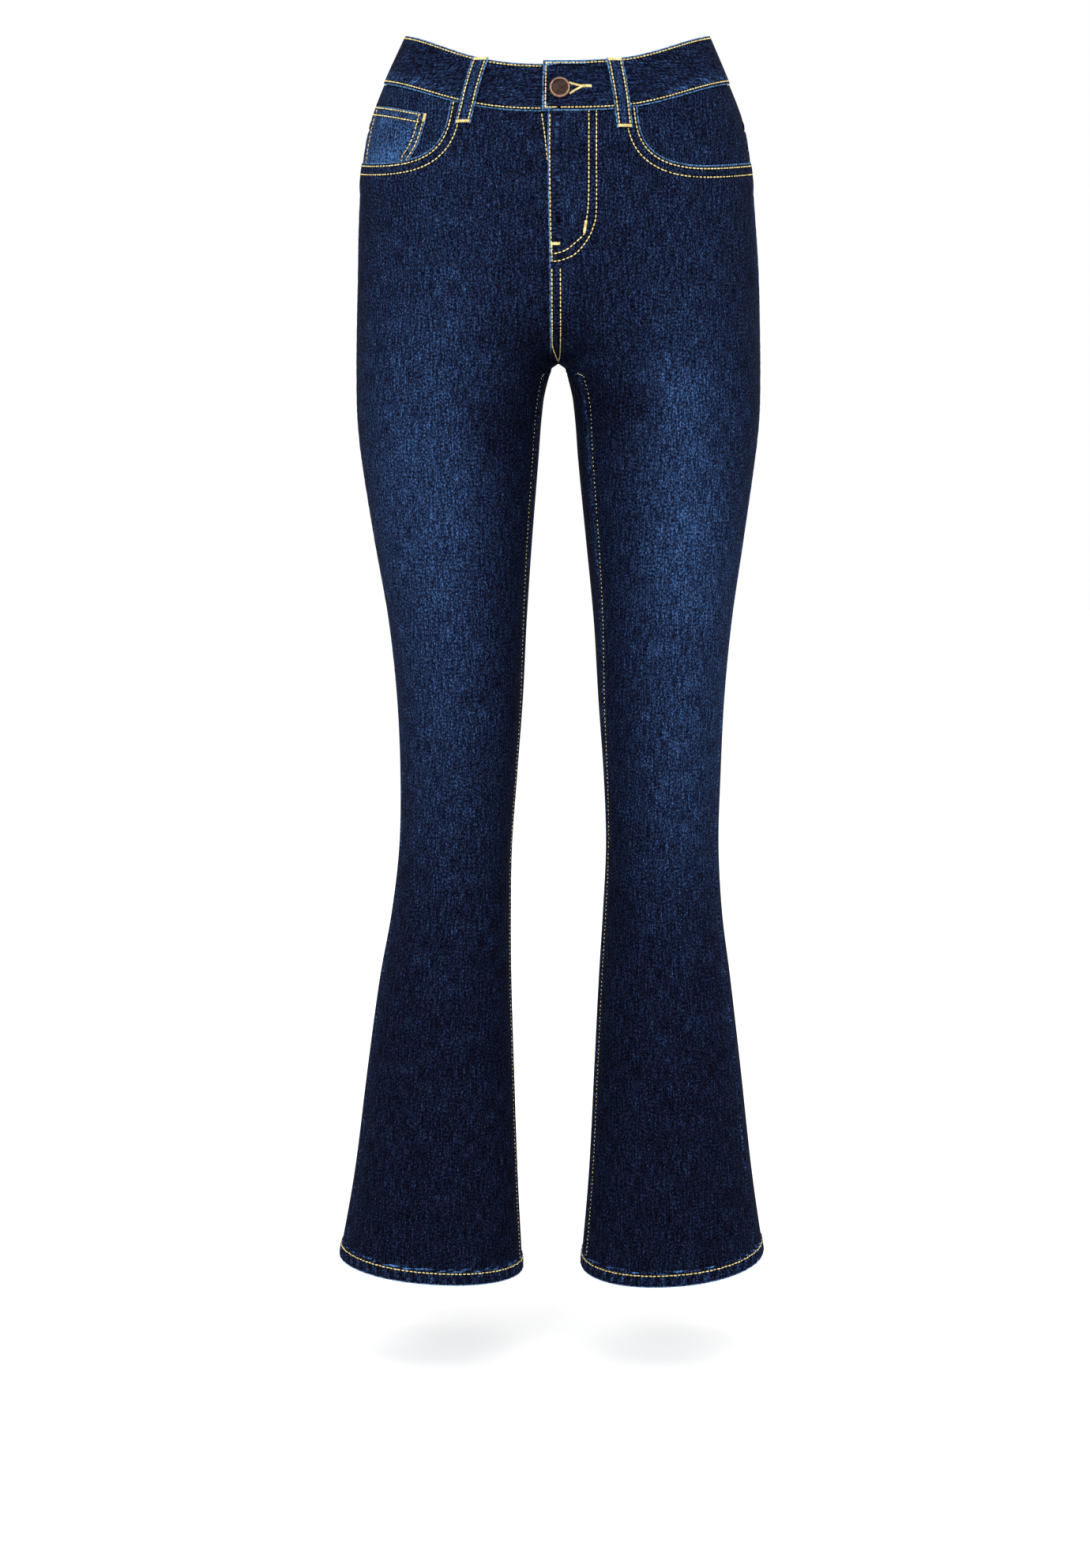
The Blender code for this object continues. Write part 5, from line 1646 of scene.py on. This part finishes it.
def build_fly():
    """The shield and the zip's tape and teeth behind the lap."""
    top = float(band_seam(1.0))
    under = -CLOTH - LAYER_GAP
    levels, across = np.linspace(top, FLY_END, 40), np.linspace(-0.016, 0.040, 24)
    strip_behind_fly("fly_shield", levels, across, under - LAYER_GAP - 0.0015, thick=0.0010)
    levels, across = np.linspace(top - 0.003, FLY_END + 0.008, 60), np.linspace(-0.006, 0.016, 16)
    strip_behind_fly("zip", levels, across, under - 0.0001, thick=0.0006, name="zip_tapes")
    for lane, shift in ((0.0096, 0.0), (0.0118, 0.0006)):
        z = np.linspace(top - 0.013, FLY_END + 0.010, 88) + shift
        spots = []
        for reach in (-0.0012, 0.0, 0.0012):
            share = share_from_x(np.full(len(z), lane + reach), z)
            spots.append(place(1, share, z, under + 0.0003))
        add_stitches("zip_teeth", spots, 0.0006)


def build_button():
    """The tack button: a copper rim round a dark face, no lettering."""
    z = waist_top(1, 1.0) - BUTTON_DROP
    centre, axis = place(1, share_from_x(BUTTON_X, z), z)
    across = np.cross(axis, (0.0, 0.0, 1.0))
    across /= np.linalg.norm(across)
    up = np.cross(across, axis)
    seat = BAND_PROUD + BAND_LIFT + 0.0003
    rim = seat + BUTTON_HEIGHT
    edge = BUTTON_RADIUS
    # Radius, height and material of each ring, from the shank out to the rim and in over the face
    profile = (
        (0.0024, seat - 0.0025, 0), (0.0024, seat, 0), (edge - 0.0010, seat + 0.0001, 0),
        (edge - 0.0002, seat + 0.0006, 0), (edge, seat + 0.0012, 0), (edge, rim - 0.0010, 0),
        (edge - 0.0002, rim - 0.0005, 0), (edge - 0.0006, rim - 0.0001, 0), (edge - 0.0011, rim, 0),
        (edge - 0.0016, rim - 0.0002, 0), (edge - 0.0020, rim - 0.0007, 1),
        (edge - 0.0024, rim - 0.0010, 1), (edge * 0.60, rim - 0.0009, 1), (edge * 0.52, rim - 0.0006, 1),
        (edge * 0.44, rim - 0.0005, 1), (edge * 0.20, rim - 0.0002, 1), (0.0002, rim - 0.0001, 1),
    )
    vertices, faces, slots = [], [], []
    for ring, (size, height, slot) in enumerate(profile):
        start = (ring - 1) * BUTTON_SIDES
        for k in range(BUTTON_SIDES):
            turn = 2.0 * math.pi * k / BUTTON_SIDES
            way = across * math.cos(turn) + up * math.sin(turn)
            vertices.append(tuple(centre + axis * height + way * size))
            if ring > 0:
                a, b = start + k, start + (k + 1) % BUTTON_SIDES
                faces.append((a, a + BUTTON_SIDES, b + BUTTON_SIDES, b))
                slots.append(slot)
    faces.append(tuple(range(BUTTON_SIDES)))
    mesh = new_mesh("tack_button", vertices, faces, (COPPER_RIM, COPPER_FACE))
    for face, slot in zip(mesh.polygons, slots):
        face.material_index = slot
    thing = new_object("tack_button", mesh)
    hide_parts("button")
    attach(thing, "root")


# The photo's view as lens, place and tilt down, the lamps as name, place, size and power, and the
# floor as half its width, its level and its two whites
LENS = 59.95
CAMERA_AT = (-0.0116, -2.30, -0.383)
CAMERA_TILT = 6.52
LAMPS = (
    ("key", (-1.5, -2.6, 1.2), 1.8, 34.0), ("fill", (2.0, -2.2, 0.6), 2.4, 14.0),
    ("top", (0.0, -0.4, 2.2), 2.2, 16.0), ("rear", (0.3, 2.6, 1.0), 2.4, 24.0),
)
LAMPS_AIM = Vector((0.0, 0.0, -0.5))
FLOOR_REACH = 14.0
FLOOR_LEVEL = -1.16
FLOOR_WHITES = ((0.3, (0.90, 0.90, 0.90)), (0.7, (0.93, 0.93, 0.93)))
WHITE = (1.0, 1.0, 1.0, 1.0)


def build_view():
    """Camera, soft light and a plain floor."""
    camera = bpy.data.cameras.new("camera")
    camera.sensor_width = 36.0
    camera.sensor_fit = "VERTICAL"
    camera.sensor_height = 36.0
    camera.lens = LENS
    camera.clip_start, camera.clip_end = 0.05, 60.0
    seen = new_object("camera", camera)
    seen.location = CAMERA_AT
    seen.rotation_euler = (math.radians(90.0 - CAMERA_TILT), 0.0, 0.0)
    bpy.context.scene.camera = seen
    for name, spot, size, power in LAMPS:
        lamp = bpy.data.lights.new(name, "AREA")
        lamp.energy, lamp.size = power, size
        thing = new_object(name, lamp)
        thing.location = spot
        thing.rotation_euler = (LAMPS_AIM - Vector(spot)).to_track_quat("-Z", "Y").to_euler()
    world = bpy.data.worlds.new("studio")
    bpy.context.scene.world = world
    world.use_nodes = True
    world.node_tree.nodes["Background"].inputs["Color"].default_value = WHITE
    world.node_tree.nodes["Background"].inputs["Strength"].default_value = 1.0
    pale = Shader("floor_pale", 0.9)
    grain = pale.noise(pale.solid_place(), scale=3.0, detail=2.0)
    pale.surface.inputs["Emission Color"].default_value = WHITE
    pale.surface.inputs["Emission Strength"].default_value = 0.14
    material = pale.finish(pale.ramp(grain, *FLOOR_WHITES))
    square = (-1, -1), (1, -1), (1, 1), (-1, 1)
    corners = [(x * FLOOR_REACH, y * FLOOR_REACH, FLOOR_LEVEL) for x, y in square]
    new_object("floor", new_mesh("floor", corners, [(0, 1, 2, 3)], [material]))
    bpy.context.scene.view_settings.view_transform = "Standard"


for side, tag in ((1, "left"), (-1, "right")):
    build_front(side, tag)
    build_bearer(side, tag)
    build_back(side, tag)
build_band()
for loop in LOOPS:
    build_loop(loop)
build_fly()
build_button()
make_threads()
build_view()
